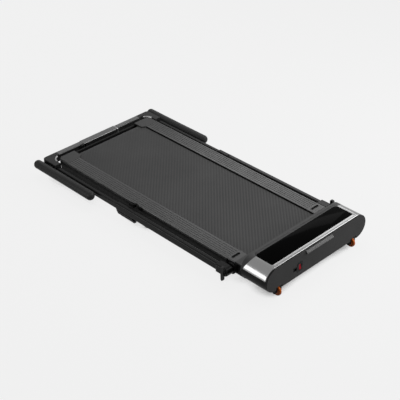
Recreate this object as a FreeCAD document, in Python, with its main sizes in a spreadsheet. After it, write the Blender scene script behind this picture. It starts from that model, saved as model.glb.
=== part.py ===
import FreeCAD, Part
import math
import os
import re
import Sketcher
from FreeCAD import Rotation, Vector

# A folding walking pad: a pill-shaped motor housing at the front (-Y), a belt deck that folds in half
# at a seam, and a U-shaped handrail with sliding posts that lies flat round the deck.
# Lengths along the machine are counted from the front cap's face. +Z is up and the floor is at zero.

doc = FreeCAD.newDocument("WalkingPad")
sheet = doc.addObject("Spreadsheet::Sheet", "Sizes")

sizes = {
    # motor housing
    "housing_half": 324, "housing_round": 57.5, "housing_low": 48, "housing_depth": 143,
    "cap_thick": 8, "cap_edge": 2.5, "shell_wall": 5, "split_rise": 64, "fairing_wall": 3,
    "silver_top_margin": 27, "silver_side_margin": 5,
    "glass_side": 61, "glass_front": 27.5, "glass_back": 7, "glass_thick": 2.5, "glass_gap": 0.2,
    "glass_front_round": 8, "glass_rear_round": 26,
    "lip_half": 85, "lip_rise": 111, "lip_proud": 12, "lip_drop": 7, "lip_thick": 3, "root_tall": 7,
    "pocket_half": 82, "pocket_tall": 13, "pocket_deep": 22, "pocket_wall": 2,
    "panel_rise": 47, "inlet_offset": 147, "inlet_wide": 22, "inlet_tall": 20, "inlet_deep": 18,
    "inlet_proud": 1, "socket_wall": 2.5, "socket_deep": 12,
    "bezel_offset": 118, "bezel_wide": 20, "bezel_tall": 34, "bezel_deep": 16, "bezel_wall": 3,
    "rocker_proud": 2.5, "rocker_gap": 0.6, "rocker_pin": 1.5, "rocker_pivot": 3, "rocker_half": 12.2,
    "rocker_lean": 3.5, "rocker_thick": 2, "rocker_back": 4,
    # transport wheels
    "wheel_inset": 81, "wheel_depth": 13.5, "wheel_lift": 33, "wheel_radius": 24, "wheel_wide": 12,
    "tread_round": 4, "axle_radius": 4, "fork_gap": 1.5, "fork_wall": 11, "fork_half": 10, "fork_top": 5,
    "well_gap": 3, "well_wall": 5, "fork_flange": 5, "flange_thick": 3, "pin_fit": 0.05,
    # deck
    "belt_top": 96, "belt_wide": 430, "belt_thick": 2, "rail_step": 7, "rail_gap": 4, "rail_wide": 76,
    "rail_thick": 6, "rail_edge": 4, "rib_margin": 8, "rib_deep": 1.6, "rib_gap": 4,
    "neck_length": 59, "front_length": 616, "rear_length": 569, "seam_gap": 0.4, "fold_gap": 0.3,
    "rail_cap_length": 47, "slot_wide": 12, "slot_deep": 3, "slot_inset": 14, "slot_back": 30,
    "end_cap_length": 72, "end_cap_wide": 22, "end_round": 24, "cap_joint": 0.4,
    "beam_wide": 34, "beam_inset": 3, "beam_tall": 50, "beam_wall": 2,
    "board_thick": 12, "board_gap": 0.4, "board_margin": 4, "cross_wide": 34, "cross_inset": 12,
    "cross_wall": 2,
    "tail_thick": 10, "foot_radius": 18, "foot_taper": 4, "foot_inset": 58,
    "front_foot_offset": 180, "front_foot_inset": 40,
    "roller_radius": 21, "roller_wall": 3, "roller_plug": 10, "roller_over": 5, "shaft_radius": 8,
    "roller_setback": 29, "idler_inset": 40,
    "wrap_gap": 0.2, "bearing_wide": 9, "bearing_half": 16, "shaft_gap": 1,
    "ear_gap": 1, "ear_wide": 7, "ear_slip": 0.4, "ear_radius": 6.5, "ear_length": 40, "ear_drop": 22,
    "ear_clear": 12, "hinge_pin": 3,
    # drive
    "motor_depth": 84, "motor_rise": 36, "motor_radius": 28, "motor_clear": 28, "motor_length": 160,
    "motor_bell": 6, "motor_shaft": 6, "motor_pulley": 10, "roller_pulley": 20, "pulley_wide": 16,
    "pulley_gap": 4, "drive_thick": 2.5, "drive_gap": 0.2, "drive_clear": 5, "mount_wide": 120,
    "mount_deep": 56, "board_offset": 60, "board_length": 150, "board_front_gap": 4, "board_back_gap": 20,
    "stand_tall": 12, "stand_radius": 4, "stand_inset": 8, "plate_thick": 2, "sink_tall": 30,
    "sink_base": 5, "fin_thick": 3, "sink_inset": 14,
    # handrail
    "arm_gap": 23, "arm_wide": 25, "arm_tall": 36, "arm_height": 70, "arm_edge": 7, "arm_past": 87,
    "pivot_setback": 10, "pivot_radius": 6, "bore_start": 45, "cheek_radius": 26, "cheek_gap": 0.7,
    "bracket_plate": 6, "bracket_half": 15, "shoe_inner": 11, "shoe_outer": 7, "shoe_skin": 1.5,
    "shoe_length": 50, "shoe_edge": 6, "shoe_flat": 0.1,
    "knob_gap": 1, "knob_thick": 12, "knob_half": 34, "knob_wide": 18, "knob_tip": 11, "knob_hub": 14,
    "hub_thick": 5,
    "post_wide": 20, "post_tall": 28, "post_drop": 1, "post_wall": 2, "post_edge": 5, "post_overlap": 128,
    "slide_gap": 0.5,
    "clamp_length": 108, "clamp_deep": 14.5, "clamp_slant": 12, "clamp_inset": 2, "clamp_ear": 4,
    "lever_eye": 6, "lever_pin": 2.5, "lever_thick": 5.5, "lever_gap": 0.8, "lever_reach": 96,
    "eye_ahead": 8, "eye_drop": 11,
    "bar_gap": 35, "bar_deep": 25, "bar_tall": 40, "bar_rise": 4, "bar_edge": 6, "bar_wall": 2.5,
    "corner_length": 75, "corner_reach": 56, "corner_fill": 9, "corner_skin": 1.5, "corner_inner_round": 38,
    "corner_outer_round": 18, "corner_edge": 4,
    "pod_half": 101, "pod_proud": 10, "pod_skin": 2, "pod_edge": 4,
    "grip_gap": 5, "grip_radius": 22, "grip_length": 447, "grip_overhang": 25, "grip_end_round": 15,
    "grip_rise": 1, "grip_inset": 14, "stud_radius": 6, "stud_reach": 14, "core_radius": 11,
    "core_eye": 13, "core_gap": 0.15, "core_short": 24, "core_wall": 2,
}
rib_count = 5
fin_count = 9
overcut = 5

for row, (word, number) in enumerate(sizes.items(), 1):
    sheet.set(f"A{row}", str(number))
    sheet.setAlias(f"A{row}", word)
doc.recompute()

nodes = {}


# Places worked out from the sizes. Each is an expression on the sheet's cells.

rail_inner = "(belt_wide/2 + rail_gap)"
rail_outer = f"({rail_inner} + rail_wide)"
rail_top = "(belt_top + rail_step)"
rail_low = f"({rail_top} - rail_thick)"
rail_start = "(housing_depth + fairing_wall + neck_length)"
beam_outer = f"({rail_outer} - beam_inset)"
beam_inner = f"({beam_outer} - beam_wide)"
beam_low = f"({rail_low} - beam_tall)"
seam = f"({rail_start} + front_length)"
front_end = f"({seam} - seam_gap/2)"
rear_start = f"({seam} + seam_gap/2)"
deck_end = f"({seam} + rear_length)"
hinge_z = f"({rail_top} + fold_gap)"
housing_mid = "(housing_low + housing_round)"
housing_top = "(housing_low + 2*housing_round)"
silver_top = "(housing_depth - silver_top_margin)"
silver_side = "(housing_depth - silver_side_margin)"
glass_half = "(housing_half - glass_side)"
glass_rear = "(housing_depth - glass_back)"
wheel_x = "(housing_half - wheel_inset)"
well_roof = "(wheel_lift + wheel_radius + well_gap)"
well_back = "(wheel_depth + wheel_radius + well_gap)"
fork_back = f"({well_back} + well_wall)"
split_z = "(housing_low + split_rise)"
panel_z = "(housing_low + panel_rise)"
lip_top = "(housing_low + lip_rise)"
pocket_high = f"({lip_top} - root_tall)"
pocket_low = f"({pocket_high} - pocket_tall)"
roller_z = "(belt_top - belt_thick - wrap_gap - roller_radius)"
drive_y = "(housing_depth + fairing_wall + roller_setback)"
idler_y = f"({deck_end} - idler_inset)"
board_top = "(belt_top - belt_thick - board_gap)"
board_low = f"({board_top} - board_thick)"
motor_z = "(housing_low + motor_rise)"
pulley_near = "(belt_wide/2 + roller_over + pulley_gap)"
pulley_far = f"({pulley_near} + pulley_wide)"
motor_end = f"({pulley_near} - motor_clear)"
motor_start = f"({motor_end} - motor_length)"
arm_inner = f"({rail_outer} + arm_gap)"
arm_outer = f"({arm_inner} + arm_wide)"
arm_mid = f"({arm_inner} + arm_wide/2)"
arm_low = "(arm_height - arm_tall/2)"
arm_end = f"({seam} + arm_past)"
pivot_y = f"({rail_start} + pivot_setback)"
shoe_near = f"({arm_inner} - shoe_inner)"
shoe_far = f"({arm_outer} + shoe_outer)"
cheek_end = f"({shoe_near} - cheek_gap)"
knob_near = f"({shoe_far} + knob_gap)"
knob_far = f"({knob_near} + knob_thick)"
post_z = "(arm_height - post_drop)"
post_front = f"({arm_end} - post_overlap)"
bar_front = f"({deck_end} + bar_gap)"
bar_rear = f"({bar_front} + bar_deep)"
bar_low = "(arm_height + bar_rise - bar_tall/2)"
bar_top = "(arm_height + bar_rise + bar_tall/2)"
corner_front = f"({bar_front} - corner_length)"
corner_outer = f"({arm_outer} + corner_skin)"
corner_near = f"({arm_inner} - corner_reach)"
corner_inner = f"({arm_inner} - corner_fill)"
grip_mid = f"({arm_outer} + grip_gap + grip_radius)"
grip_z = "(arm_height + grip_rise)"
grip_rear = f"({bar_rear} + grip_overhang)"
grip_front = f"({grip_rear} - grip_length)"
grip_pivot = f"({bar_rear} - grip_inset)"
middle = f"(({grip_rear} - lip_proud)/2)"


# Helpers for bound objects.

def cells(text):
    return re.sub(r"[a-z]+(?:_[a-z]+)+", lambda found: "Sizes." + found.group(), text)


def along(text):
    # A place counted from the front cap's face, in the frame centred on the machine's length.
    return f"({text}) - {middle}"


def size(word):
    return float(sheet.get(word))


def bind(thing, **texts):
    for name, text in texts.items():
        thing.setExpression(name.replace("_at_", "Placement.Base."), cells(text))
    return thing


def box(x0, x1, y0, y1, z0, z1):
    made = doc.addObject("Part::Box", "Block")
    bind(made, Length=f"({x1}) - ({x0})", Width=f"({y1}) - ({y0})", Height=f"({z1}) - ({z0})")
    return bind(made, _at_x=x0, _at_y=along(y0), _at_z=z0)


def rod(axis, radius, start, end, first, second):
    # first and second place the axis: y and z of a rod along x, x and z along y, x and y along z.
    made = doc.addObject("Part::Cylinder", "Rod")
    bind(made, Radius=radius, Height=f"({end}) - ({start})")
    if axis == "x":
        made.Placement.Rotation = Rotation(Vector(0, 1, 0), 90)
        return bind(made, _at_x=start, _at_y=along(first), _at_z=second)
    if axis == "y":
        made.Placement.Rotation = Rotation(Vector(1, 0, 0), -90)
        return bind(made, _at_x=first, _at_y=along(start), _at_z=second)
    return bind(made, _at_x=first, _at_y=along(second), _at_z=start)


def fuse(*things):
    made = doc.addObject("Part::MultiFuse", "Joined")
    made.Shapes = list(things)
    made.Refine = True
    return made


def cut(base, *tools):
    made = doc.addObject("Part::Cut", "Trimmed")
    made.Base = base
    made.Tool = tools[0] if len(tools) == 1 else fuse(*tools)
    made.Refine = True
    return made


def common(*things):
    made = doc.addObject("Part::MultiCommon", "Shared")
    made.Shapes = list(things)
    return made


def mirrored(thing):
    made = doc.addObject("Part::Mirroring", "Mirrored")
    made.Source = thing
    made.Normal = Vector(1, 0, 0)
    return made


def group(*things):
    made = doc.addObject("Part::Compound", "Group")
    made.Links = list(things)
    return made


def both(thing):
    return group(mirrored(thing), thing)


def rounded(thing, word, wanted):
    # Rounds the edges that wanted picks, by a size from the sheet.
    doc.recompute()
    made = doc.addObject("Part::Fillet", "Rounded")
    made.Base = thing
    radius = size(word)
    picked = [n for n, edge in enumerate(thing.Shape.Edges, 1) if wanted(edge)]
    made.Edges = [(n, radius, radius) for n in picked]
    return made


def middle_of(edge):
    return edge.valueAt((edge.FirstParameter + edge.LastParameter)/2)


def runs_along(axis):
    direction = {"x": Vector(1, 0, 0), "y": Vector(0, 1, 0), "z": Vector(0, 0, 1)}[axis]

    def wanted(edge):
        return isinstance(edge.Curve, Part.Line) and abs(edge.tangentAt(edge.FirstParameter)*direction) > 0.99
    return wanted


def outline(body, role, points):
    # A closed outline on one of the body's own planes, each corner held by two bound distances.
    sketch = body.newObject("Sketcher::SketchObject", "Outline")
    sketch.AttachmentSupport = [(plane_of(body, role), "")]
    sketch.MapMode = "FlatFace"
    count = len(points)
    turn = 2*math.pi/count
    ring = [Vector(math.cos(turn*n), math.sin(turn*n), 0) for n in range(count)]
    for n in range(count):
        sketch.addGeometry(Part.LineSegment(ring[n], ring[(n + 1) % count]), False)
    for n in range(count):
        sketch.addConstraint(Sketcher.Constraint("Coincident", n, 2, (n + 1) % count, 1))
    for n, corner in enumerate(points):
        for kind, text in zip(("DistanceX", "DistanceY"), corner):
            index = sketch.addConstraint(Sketcher.Constraint(kind, -1, 1, n, 1, 1.0))
            sketch.setExpression(f"Constraints[{index}]", cells(text))
    return sketch


def plane_of(body, role):
    return next(feature for feature in body.Origin.OriginFeatures if feature.Role == role)


def padded(axis, points, start, end, edge_round=None):
    # An outline across the axis, padded from start to end, with its long edges rounded if asked.
    body = doc.addObject("PartDesign::Body", "Body")
    if axis == "x":
        sketch = outline(body, "YZ_Plane", [(along(y), z) for y, z in points])
        bind(body, _at_x=start)
    elif axis == "y":
        sketch = outline(body, "XZ_Plane", points)
        bind(body, _at_y=along(start))
    else:
        sketch = outline(body, "XY_Plane", [(x, along(y)) for x, y in points])
        bind(body, _at_z=start)
    pad = body.newObject("PartDesign::Pad", "Pad")
    pad.Profile = sketch
    pad.Reversed = axis == "y"
    bind(pad, Length=f"({end}) - ({start})")
    if edge_round:
        round_edges(body, pad, edge_round, runs_along(axis))
    return body


def round_edges(body, feature, text, wanted):
    doc.recompute()
    names = [f"Edge{n}" for n, edge in enumerate(feature.Shape.Edges, 1) if wanted(edge)]
    made = body.newObject("PartDesign::Fillet", "Rounding")
    made.Base = (feature, names)
    bind(made, Radius=text)
    return made


def turned(axis, points, first, second, third):
    # An outline of (place along the axis, radius) turned about an axis through the given place.
    body = doc.addObject("PartDesign::Body", "Body")
    if axis == "x":
        sketch = outline(body, "XY_Plane", points)
        line = "H_Axis"
    elif axis == "y":
        sketch = outline(body, "XY_Plane", [(radius, place) for place, radius in points])
        line = "V_Axis"
    else:
        sketch = outline(body, "XZ_Plane", [(radius, place) for place, radius in points])
        line = "V_Axis"
    turn = body.newObject("PartDesign::Revolution", "Turned")
    turn.Profile = sketch
    turn.ReferenceAxis = (sketch, [line])
    turn.Angle = 360
    bind(body, _at_x=first, _at_y=along(second), _at_z=third)
    return body


def oblong(x0, x1, z0, z1):
    return [(x0, z0), (x1, z0), (x1, z1), (x0, z1)]


def node(label, thing):
    thing.Label = label
    nodes[label] = thing
    return thing


# Motor housing

def pill(inset, y0, y1):
    # The housing's section, a flat-topped bar with half-round sides, drawn in by inset.
    round_part = f"(housing_round - {inset})"
    side = "(housing_half - housing_round)"
    low = f"({housing_mid} - {round_part})"
    high = f"({housing_mid} + {round_part})"
    flat = box(f"-{side}", side, y0, y1, low, high)
    ends = [rod("y", round_part, y0, y1, x, housing_mid) for x in (f"-{side}", side)]
    return fuse(flat, *ends)


def glass_outline(grow):
    half = f"({glass_half} + {grow})"
    near = f"(glass_front - {grow})"
    far = f"({glass_rear} + {grow})"
    return [(f"-{half}", near), (half, near), (half, far), (f"-{half}", far)]


def glass_plate(grow, low, high):
    plate = padded("z", glass_outline(grow), low, high)
    doc.recompute()
    edge_y = plate.Tip.Shape.BoundBox.Center.y

    def front(edge):
        return runs_along("z")(edge) and middle_of(edge).y < edge_y

    def rear(edge):
        return runs_along("z")(edge) and middle_of(edge).y > edge_y
    first = round_edges(plate, plate.Tip, f"glass_front_round + {grow}", front)
    round_edges(plate, first, f"glass_rear_round + {grow}", rear)
    return plate


def half_length():
    # Half the machine's length, read back from a bound block.
    gauge = box("0", "1", "0", f"{middle}", "0", "1")
    doc.recompute()
    reach = gauge.Width.Value
    doc.removeObject(gauge.Name)
    return reach


def wheel_slot(y0, y1, high):
    reach = "(wheel_wide/2 + fork_gap + fork_wall + well_gap/2)"
    return [box(f"{side}{wheel_x} - {reach}", f"{side}{wheel_x} + {reach}", y0, y1, "0", high)
            for side in ("", "-")]


def window(offset, wide, tall):
    # A hole through the cap on the panel's centre line.
    return box(f"-{offset} - {wide}/2", f"-{offset} + {wide}/2", f"-{overcut}", f"cap_thick + {overcut}",
               f"{panel_z} - {tall}/2", f"{panel_z} + {tall}/2")


def make_cap():
    plate = pill("0", "0", "cap_thick")
    face_y = -half_length()
    plate = rounded(plate, "cap_edge", lambda edge: abs(middle_of(edge).y - face_y) < 0.01)
    hand_hole = box("-pocket_half", "pocket_half", f"-{overcut}", f"cap_thick + {overcut}",
                    pocket_low, lip_top)
    arch = wheel_slot(f"-{overcut}", f"cap_thick + {overcut}", f"{well_roof} + well_gap/2")
    node("front_cap", cut(plate, hand_hole, window("inlet_offset", "inlet_wide", "inlet_tall"),
                          window("bezel_offset", "bezel_wide", "bezel_tall"), *arch))


def make_carry_lip():
    # A lip that slopes forward and down over a finger pocket.
    slope = [("0", lip_top), ("-lip_proud", f"{lip_top} - lip_drop"),
             ("-lip_proud", f"{lip_top} - lip_drop - lip_thick"), ("0", pocket_high)]
    lip = padded("x", slope, "-lip_half", "lip_half")
    root = box("-pocket_half", "pocket_half", "0", "cap_thick", pocket_high, lip_top)
    back = "(cap_thick + pocket_deep)"
    cup = box("-pocket_half - pocket_wall", "pocket_half + pocket_wall", "cap_thick", f"{back} + pocket_wall",
              f"{pocket_low} - pocket_wall", f"{pocket_high} + pocket_wall")
    room = box("-pocket_half", "pocket_half", f"-{overcut}", back, pocket_low, pocket_high)
    node("carry_handle", fuse(lip, root, cut(cup, room)))


def make_housing():
    hollow = pill("shell_wall", f"cap_thick - {overcut}", "housing_depth - shell_wall")
    through = pill("shell_wall", f"cap_thick - {overcut}", f"housing_depth + {overcut}")
    past = f"(housing_depth + {overcut})"
    above = box("-housing_half", "housing_half", "0", past, split_z, f"{housing_top} + {overcut}")
    below = box("-housing_half", "housing_half", "0", past, "0", split_z)
    belt_slot = box(f"{pulley_near} - drive_clear", f"{pulley_far} + drive_clear",
                    "housing_depth - 2*shell_wall", past, "housing_low + shell_wall", rail_top)
    wells = wheel_slot("0", f"{fork_back} + well_gap/2", f"{well_roof} + fork_top + well_gap")
    node("lower_shell", cut(pill("0", "cap_thick", "housing_depth"), hollow, above, belt_slot, *wells))

    slope = [(silver_side, split_z), (silver_top, housing_top), (silver_top, f"{housing_top} + {overcut}"),
             (past, f"{housing_top} + {overcut}"), (past, split_z)]
    behind = padded("x", slope, "-housing_half", "housing_half")
    recess = glass_plate("glass_gap", f"{housing_top} - glass_thick", f"{housing_top} + {overcut}")
    skin = cut(pill("0", "cap_thick", "housing_depth"), through, below)
    node("upper_shell", cut(skin, behind, recess))

    beneath = box("-housing_half", "housing_half", "0", f"{past} + fairing_wall", "0", rail_top)
    wall = cut(pill("0", "housing_depth", "housing_depth + fairing_wall"), beneath)
    node("rear_fairing", cut(fuse(common(skin, behind), wall), recess))
    node("display_glass", glass_plate("0", f"{housing_top} - glass_thick", housing_top))
    node("neck_cover", box(f"-{beam_outer}", beam_outer, "housing_depth + fairing_wall",
                           f"{rail_start} - cap_joint", rail_low, rail_top))

    inlet = box("-inlet_offset - inlet_wide/2", "-inlet_offset + inlet_wide/2", "-inlet_proud", "inlet_deep",
                f"{panel_z} - inlet_tall/2", f"{panel_z} + inlet_tall/2")
    socket = box("-inlet_offset - inlet_wide/2 + socket_wall", "-inlet_offset + inlet_wide/2 - socket_wall",
                 f"-{overcut}", "socket_deep", f"{panel_z} - inlet_tall/2 + socket_wall",
                 f"{panel_z} + inlet_tall/2 - socket_wall")
    node("power_inlet", cut(inlet, socket))


def make_switch():
    half_x = "(bezel_wide/2 - bezel_wall)"
    half_z = "(bezel_tall/2 - bezel_wall)"
    frame = box("-bezel_offset - bezel_wide/2", "-bezel_offset + bezel_wide/2", "-inlet_proud", "bezel_deep",
                f"{panel_z} - bezel_tall/2", f"{panel_z} + bezel_tall/2")
    window_room = box(f"-bezel_offset - {half_x}", f"-bezel_offset + {half_x}", f"-{overcut}",
                      "bezel_deep - bezel_wall", f"{panel_z} - {half_z}", f"{panel_z} + {half_z}")
    left = f"(-bezel_offset - {half_x})"
    right = f"(-bezel_offset + {half_x})"
    pin = rod("x", "rocker_pin", left, right, "rocker_pivot", panel_z)
    node("switch_bezel", fuse(cut(frame, window_room), pin))
    top = f"({panel_z} + rocker_half)"
    low = f"({panel_z} - rocker_half)"
    back = "(rocker_pivot + rocker_back)"
    front = "(-rocker_proud + rocker_lean)"
    shape = [("-rocker_proud", low), ("-rocker_proud + rocker_thick", low),
             (back, f"{panel_z} - rocker_back"), (back, f"{panel_z} + rocker_back"),
             (f"{front} + rocker_thick", top), (front, top),
             ("-rocker_proud + rocker_lean/2 + rocker_gap", panel_z)]
    rocker = padded("x", shape, f"{left} + rocker_gap", f"{right} - rocker_gap")
    hole = rod("x", "rocker_pin + pin_fit", left, right, "rocker_pivot", panel_z)
    node("power_switch", cut(rocker, hole))


# Transport wheels

def make_wheels():
    half = "(wheel_wide/2)"
    tread = [(f"-{half}", "axle_radius + pin_fit"), (half, "axle_radius + pin_fit"),
             (half, "wheel_radius - tread_round"), (f"{half} - tread_round", "wheel_radius"),
             (f"-{half} + tread_round", "wheel_radius"), (f"-{half}", "wheel_radius - tread_round")]
    wheel = node("wheel_right", turned("x", tread, wheel_x, "wheel_depth", "wheel_lift"))
    node("wheel_left", mirrored(wheel))
    # Each fork is a block over the wheel with two thick legs that carry the axle.
    near = f"({wheel_x} - {half} - fork_gap - fork_wall)"
    far = f"({wheel_x} + {half} + fork_gap + fork_wall)"
    floor_z = "(housing_low + shell_wall)"
    behind_cap = "(cap_thick + cap_joint)"
    front = "(wheel_depth - fork_half)"
    back = "(wheel_depth + fork_half)"
    legs = fuse(box(near, far, front, back, "wheel_lift", well_roof),
                rod("x", "fork_half", near, far, "wheel_depth", "wheel_lift"))
    block = box(near, far, behind_cap, fork_back, "housing_low", f"{well_roof} + fork_top")
    flange = box(f"{near} - fork_flange", f"{far} + fork_flange", behind_cap, f"{fork_back} + fork_flange",
                 floor_z, f"{floor_z} + flange_thick")
    gap = box(f"{near} + fork_wall", f"{far} - fork_wall", f"{front} - {overcut}", well_back, "0", well_roof)
    axle = rod("x", "axle_radius", near, far, "wheel_depth", "wheel_lift")
    node("wheel_forks", both(fuse(cut(fuse(legs, block, flange), gap), axle)))


# Deck

def ribbed(y0, y1):
    pitch = f"((rail_wide - 2*rib_margin)/{rib_count})"
    points = [(rail_inner, rail_low), (rail_outer, rail_low), (rail_outer, rail_top)]
    for n in reversed(range(rib_count)):
        mid = f"({rail_inner} + rib_margin + {n + 0.5}*{pitch})"
        points += [(f"{mid} + rib_gap/2", rail_top), (f"{mid} + rib_gap/2", f"{rail_top} - rib_deep"),
                   (f"{mid} - rib_gap/2", f"{rail_top} - rib_deep"), (f"{mid} - rib_gap/2", rail_top)]
    points.append((rail_inner, rail_top))
    strip = padded("y", points, y0, y1)
    round_edges(strip, strip.Tip, "rail_edge", outer_top(strip))
    return strip


def outer_top(thing):
    # Picks the lengthwise edge along the top of a rail's outer side.
    doc.recompute()
    bounds = thing.Shape.BoundBox

    def wanted(edge):
        spot = middle_of(edge)
        return runs_along("y")(edge) and spot.x > bounds.XMax - 0.01 and spot.z > bounds.ZMax - 0.01
    return wanted


def make_rails():
    cap_end = f"({rail_start} + rail_cap_length)"
    right = node("front_rail_right", ribbed(f"{cap_end} + cap_joint", front_end))
    node("front_rail_left", mirrored(right))
    block = box(rail_inner, rail_outer, rail_start, cap_end, rail_low, rail_top)
    cap = rounded(block, "rail_edge", outer_top(block))
    slot_y = f"({rail_start} + slot_back)"
    slot = padded("z", oblong(f"{rail_inner} + slot_inset", f"{rail_outer} - slot_inset",
                              f"{slot_y} - slot_wide/2", f"{slot_y} + slot_wide/2"),
                  f"{rail_top} - slot_deep", f"{rail_top} + {overcut}", "slot_wide/2.2")
    node("front_rail_caps", both(cut(cap, slot)))

    end_start = f"({deck_end} - end_cap_length)"
    end = padded("z", oblong(f"{rail_inner} - end_cap_wide", rail_outer, end_start, deck_end),
                 rail_low, rail_top)
    doc.recompute()
    bounds = end.Tip.Shape.BoundBox

    def rear_outer(edge):
        spot = middle_of(edge)
        return runs_along("z")(edge) and spot.x > bounds.Center.x and spot.y > bounds.Center.y
    corner = round_edges(end, end.Tip, "end_round", rear_outer)

    def rim(edge):
        spot = middle_of(edge)
        return spot.z > bounds.ZMax - 0.01 and spot.x > bounds.XMin + 0.01 and spot.y > bounds.YMin + 0.01
    round_edges(end, corner, "rail_edge", rim)
    ribs = ribbed(rear_start, f"{end_start}")
    rear = node("rear_rail_right", fuse(ribs, end))
    node("rear_rail_left", mirrored(rear))


def beam(y0, y1):
    solid = box(beam_inner, beam_outer, y0, y1, beam_low, rail_low)
    core = box(f"{beam_inner} + beam_wall", f"{beam_outer} - beam_wall", f"{y0} - {overcut}",
               f"{y1} + {overcut}", f"{beam_low} + beam_wall", f"{rail_low} - beam_wall")
    return both(cut(solid, core))


def cross(y0, y1, low, high):
    tube = box(f"-{beam_inner}", beam_inner, y0, y1, low, high)
    core = box(f"-{beam_inner} - {overcut}", f"{beam_inner} + {overcut}", f"{y0} + cross_wall",
               f"{y1} - cross_wall", f"{low} + cross_wall", f"{high} - cross_wall")
    return cut(tube, core)


def board(y0, y1):
    half = "(belt_wide/2 + board_margin)"
    return box(f"-{half}", half, y0, y1, board_low, board_top)


def loop(roller_y, seam_y, sign):
    # Half of the running belt: two runs joined round one roller, cut at the seam.
    inner = "(roller_radius + wrap_gap)"
    outer = f"({inner} + belt_thick)"
    half = "(belt_wide/2)"
    low = f"({roller_z} - {inner})"
    y0, y1 = (roller_y, seam_y) if sign > 0 else (seam_y, roller_y)
    wide = fuse(rod("x", outer, f"-{half}", half, roller_y, roller_z),
                box(f"-{half}", half, y0, y1, f"{low} - belt_thick", "belt_top"))
    hole = fuse(rod("x", inner, f"-{half} - {overcut}", f"{half} + {overcut}", roller_y, roller_z),
                box(f"-{half} - {overcut}", f"{half} + {overcut}",
                    y0 if sign > 0 else f"{y0} - {overcut}", f"{y1} + {overcut}" if sign > 0 else y1,
                    low, "belt_top - belt_thick"))
    return cut(wide, hole)


def foot(x, y, top):
    shape = [("0", "0"), ("0", "foot_radius"), (top, "foot_radius - foot_taper"), (top, "0")]
    return both(turned("z", shape, x, y, "0"))


def roller(y):
    half = "(belt_wide/2 + roller_over)"
    tip = f"({beam_inner} - shaft_gap)"
    shape = [(f"-{tip}", "0"), (tip, "0"), (tip, "shaft_radius"), (half, "shaft_radius"),
             (half, "roller_radius"), (f"-{half}", "roller_radius"), (f"-{half}", "shaft_radius"),
             (f"-{tip}", "shaft_radius")]
    hollow = rod("x", "roller_radius - roller_wall", f"-{half} + roller_plug", f"{half} - roller_plug",
                 y, roller_z)
    return cut(turned("x", shape, "0", y, roller_z), hollow)


def bearing(y):
    block = box(f"{beam_inner} - bearing_wide", beam_inner, f"{y} - bearing_half", f"{y} + bearing_half",
                f"{roller_z} - bearing_half", f"{roller_z} + bearing_half")
    hole = rod("x", "shaft_radius + pin_fit", f"{beam_inner} - 2*bearing_wide", beam_inner, y, roller_z)
    return both(cut(block, hole))


def make_deck():
    start = "(housing_depth + fairing_wall)"
    roller_edge = "(roller_radius + belt_thick + board_margin)"
    node("front_beams", beam(start, front_end))
    node("rear_beams", beam(rear_start, f"{deck_end} - cap_joint"))
    low = f"({roller_z} - roller_radius + bearing_half/2)"
    first = f"({drive_y} + {roller_edge} + cross_inset)"
    last = f"({front_end} - cross_inset)"
    node("front_cross_members", group(cross(first, f"{first} + cross_wide", low, board_low),
                                      cross(f"{last} - cross_wide", last, low, board_low)))
    node("front_deck_board", board(f"{drive_y} + {roller_edge}", f"{front_end} - board_gap"))
    first = f"({rear_start} + cross_inset)"
    last = f"({idler_y} - {roller_edge} - cross_inset)"
    tail = f"({deck_end} - tail_thick)"
    node("rear_cross_members", group(cross(first, f"{first} + cross_wide", low, board_low),
                                     cross(f"{last} - cross_wide", last, low, board_low),
                                     cross(tail, f"{deck_end} - cap_joint", f"{beam_low} + cap_joint",
                                           board_top)))
    node("rear_deck_board", board(f"{rear_start} + board_gap", f"{idler_y} - {roller_edge}"))
    node("belt_front", loop(drive_y, front_end, 1))
    node("belt_rear", loop(idler_y, rear_start, -1))
    beam_x = f"({beam_inner} + beam_wide/2)"
    node("base_feet", group(foot("front_foot_offset", "housing_depth - front_foot_inset", "housing_low"),
                            foot(beam_x, f"{seam} - foot_inset", beam_low)))
    node("rear_feet", foot(beam_x, f"{deck_end} - foot_inset", beam_low))
    node("idler_roller", roller(idler_y))
    node("drive_bearings", bearing(drive_y))
    node("idler_bearings", bearing(idler_y))


def make_deck_hinge():
    near = f"({rail_outer} + ear_gap)"
    split = f"({near} + ear_wide)"
    slip = f"({split} + ear_slip)"
    far = f"({slip} + ear_wide)"
    low = f"({hinge_z} - ear_drop)"
    shelf = f"({rail_low} - cap_joint)"
    pin = rod("x", "hinge_pin", near, far, seam, hinge_z)
    hole = rod("x", "hinge_pin + pin_fit", f"{near} - {overcut}", f"{far} + {overcut}", seam, hinge_z)
    front = fuse(rod("x", "ear_radius", near, split, seam, hinge_z),
                 box(near, split, f"{seam} - ear_length", seam, low, f"{hinge_z} - ear_radius/2"),
                 box(beam_outer, split, f"{seam} - ear_length", f"{seam} - ear_clear", low, shelf))
    rear = fuse(rod("x", "ear_radius", slip, far, seam, hinge_z),
                box(slip, far, seam, f"{seam} + ear_length", low, f"{hinge_z} - ear_radius/2"),
                box(beam_outer, far, f"{seam} + ear_clear", f"{seam} + ear_length", low, shelf))
    node("front_hinge_ears", both(fuse(front, pin)))
    node("rear_hinge_ears", both(cut(rear, hole)))


# Drive

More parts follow.
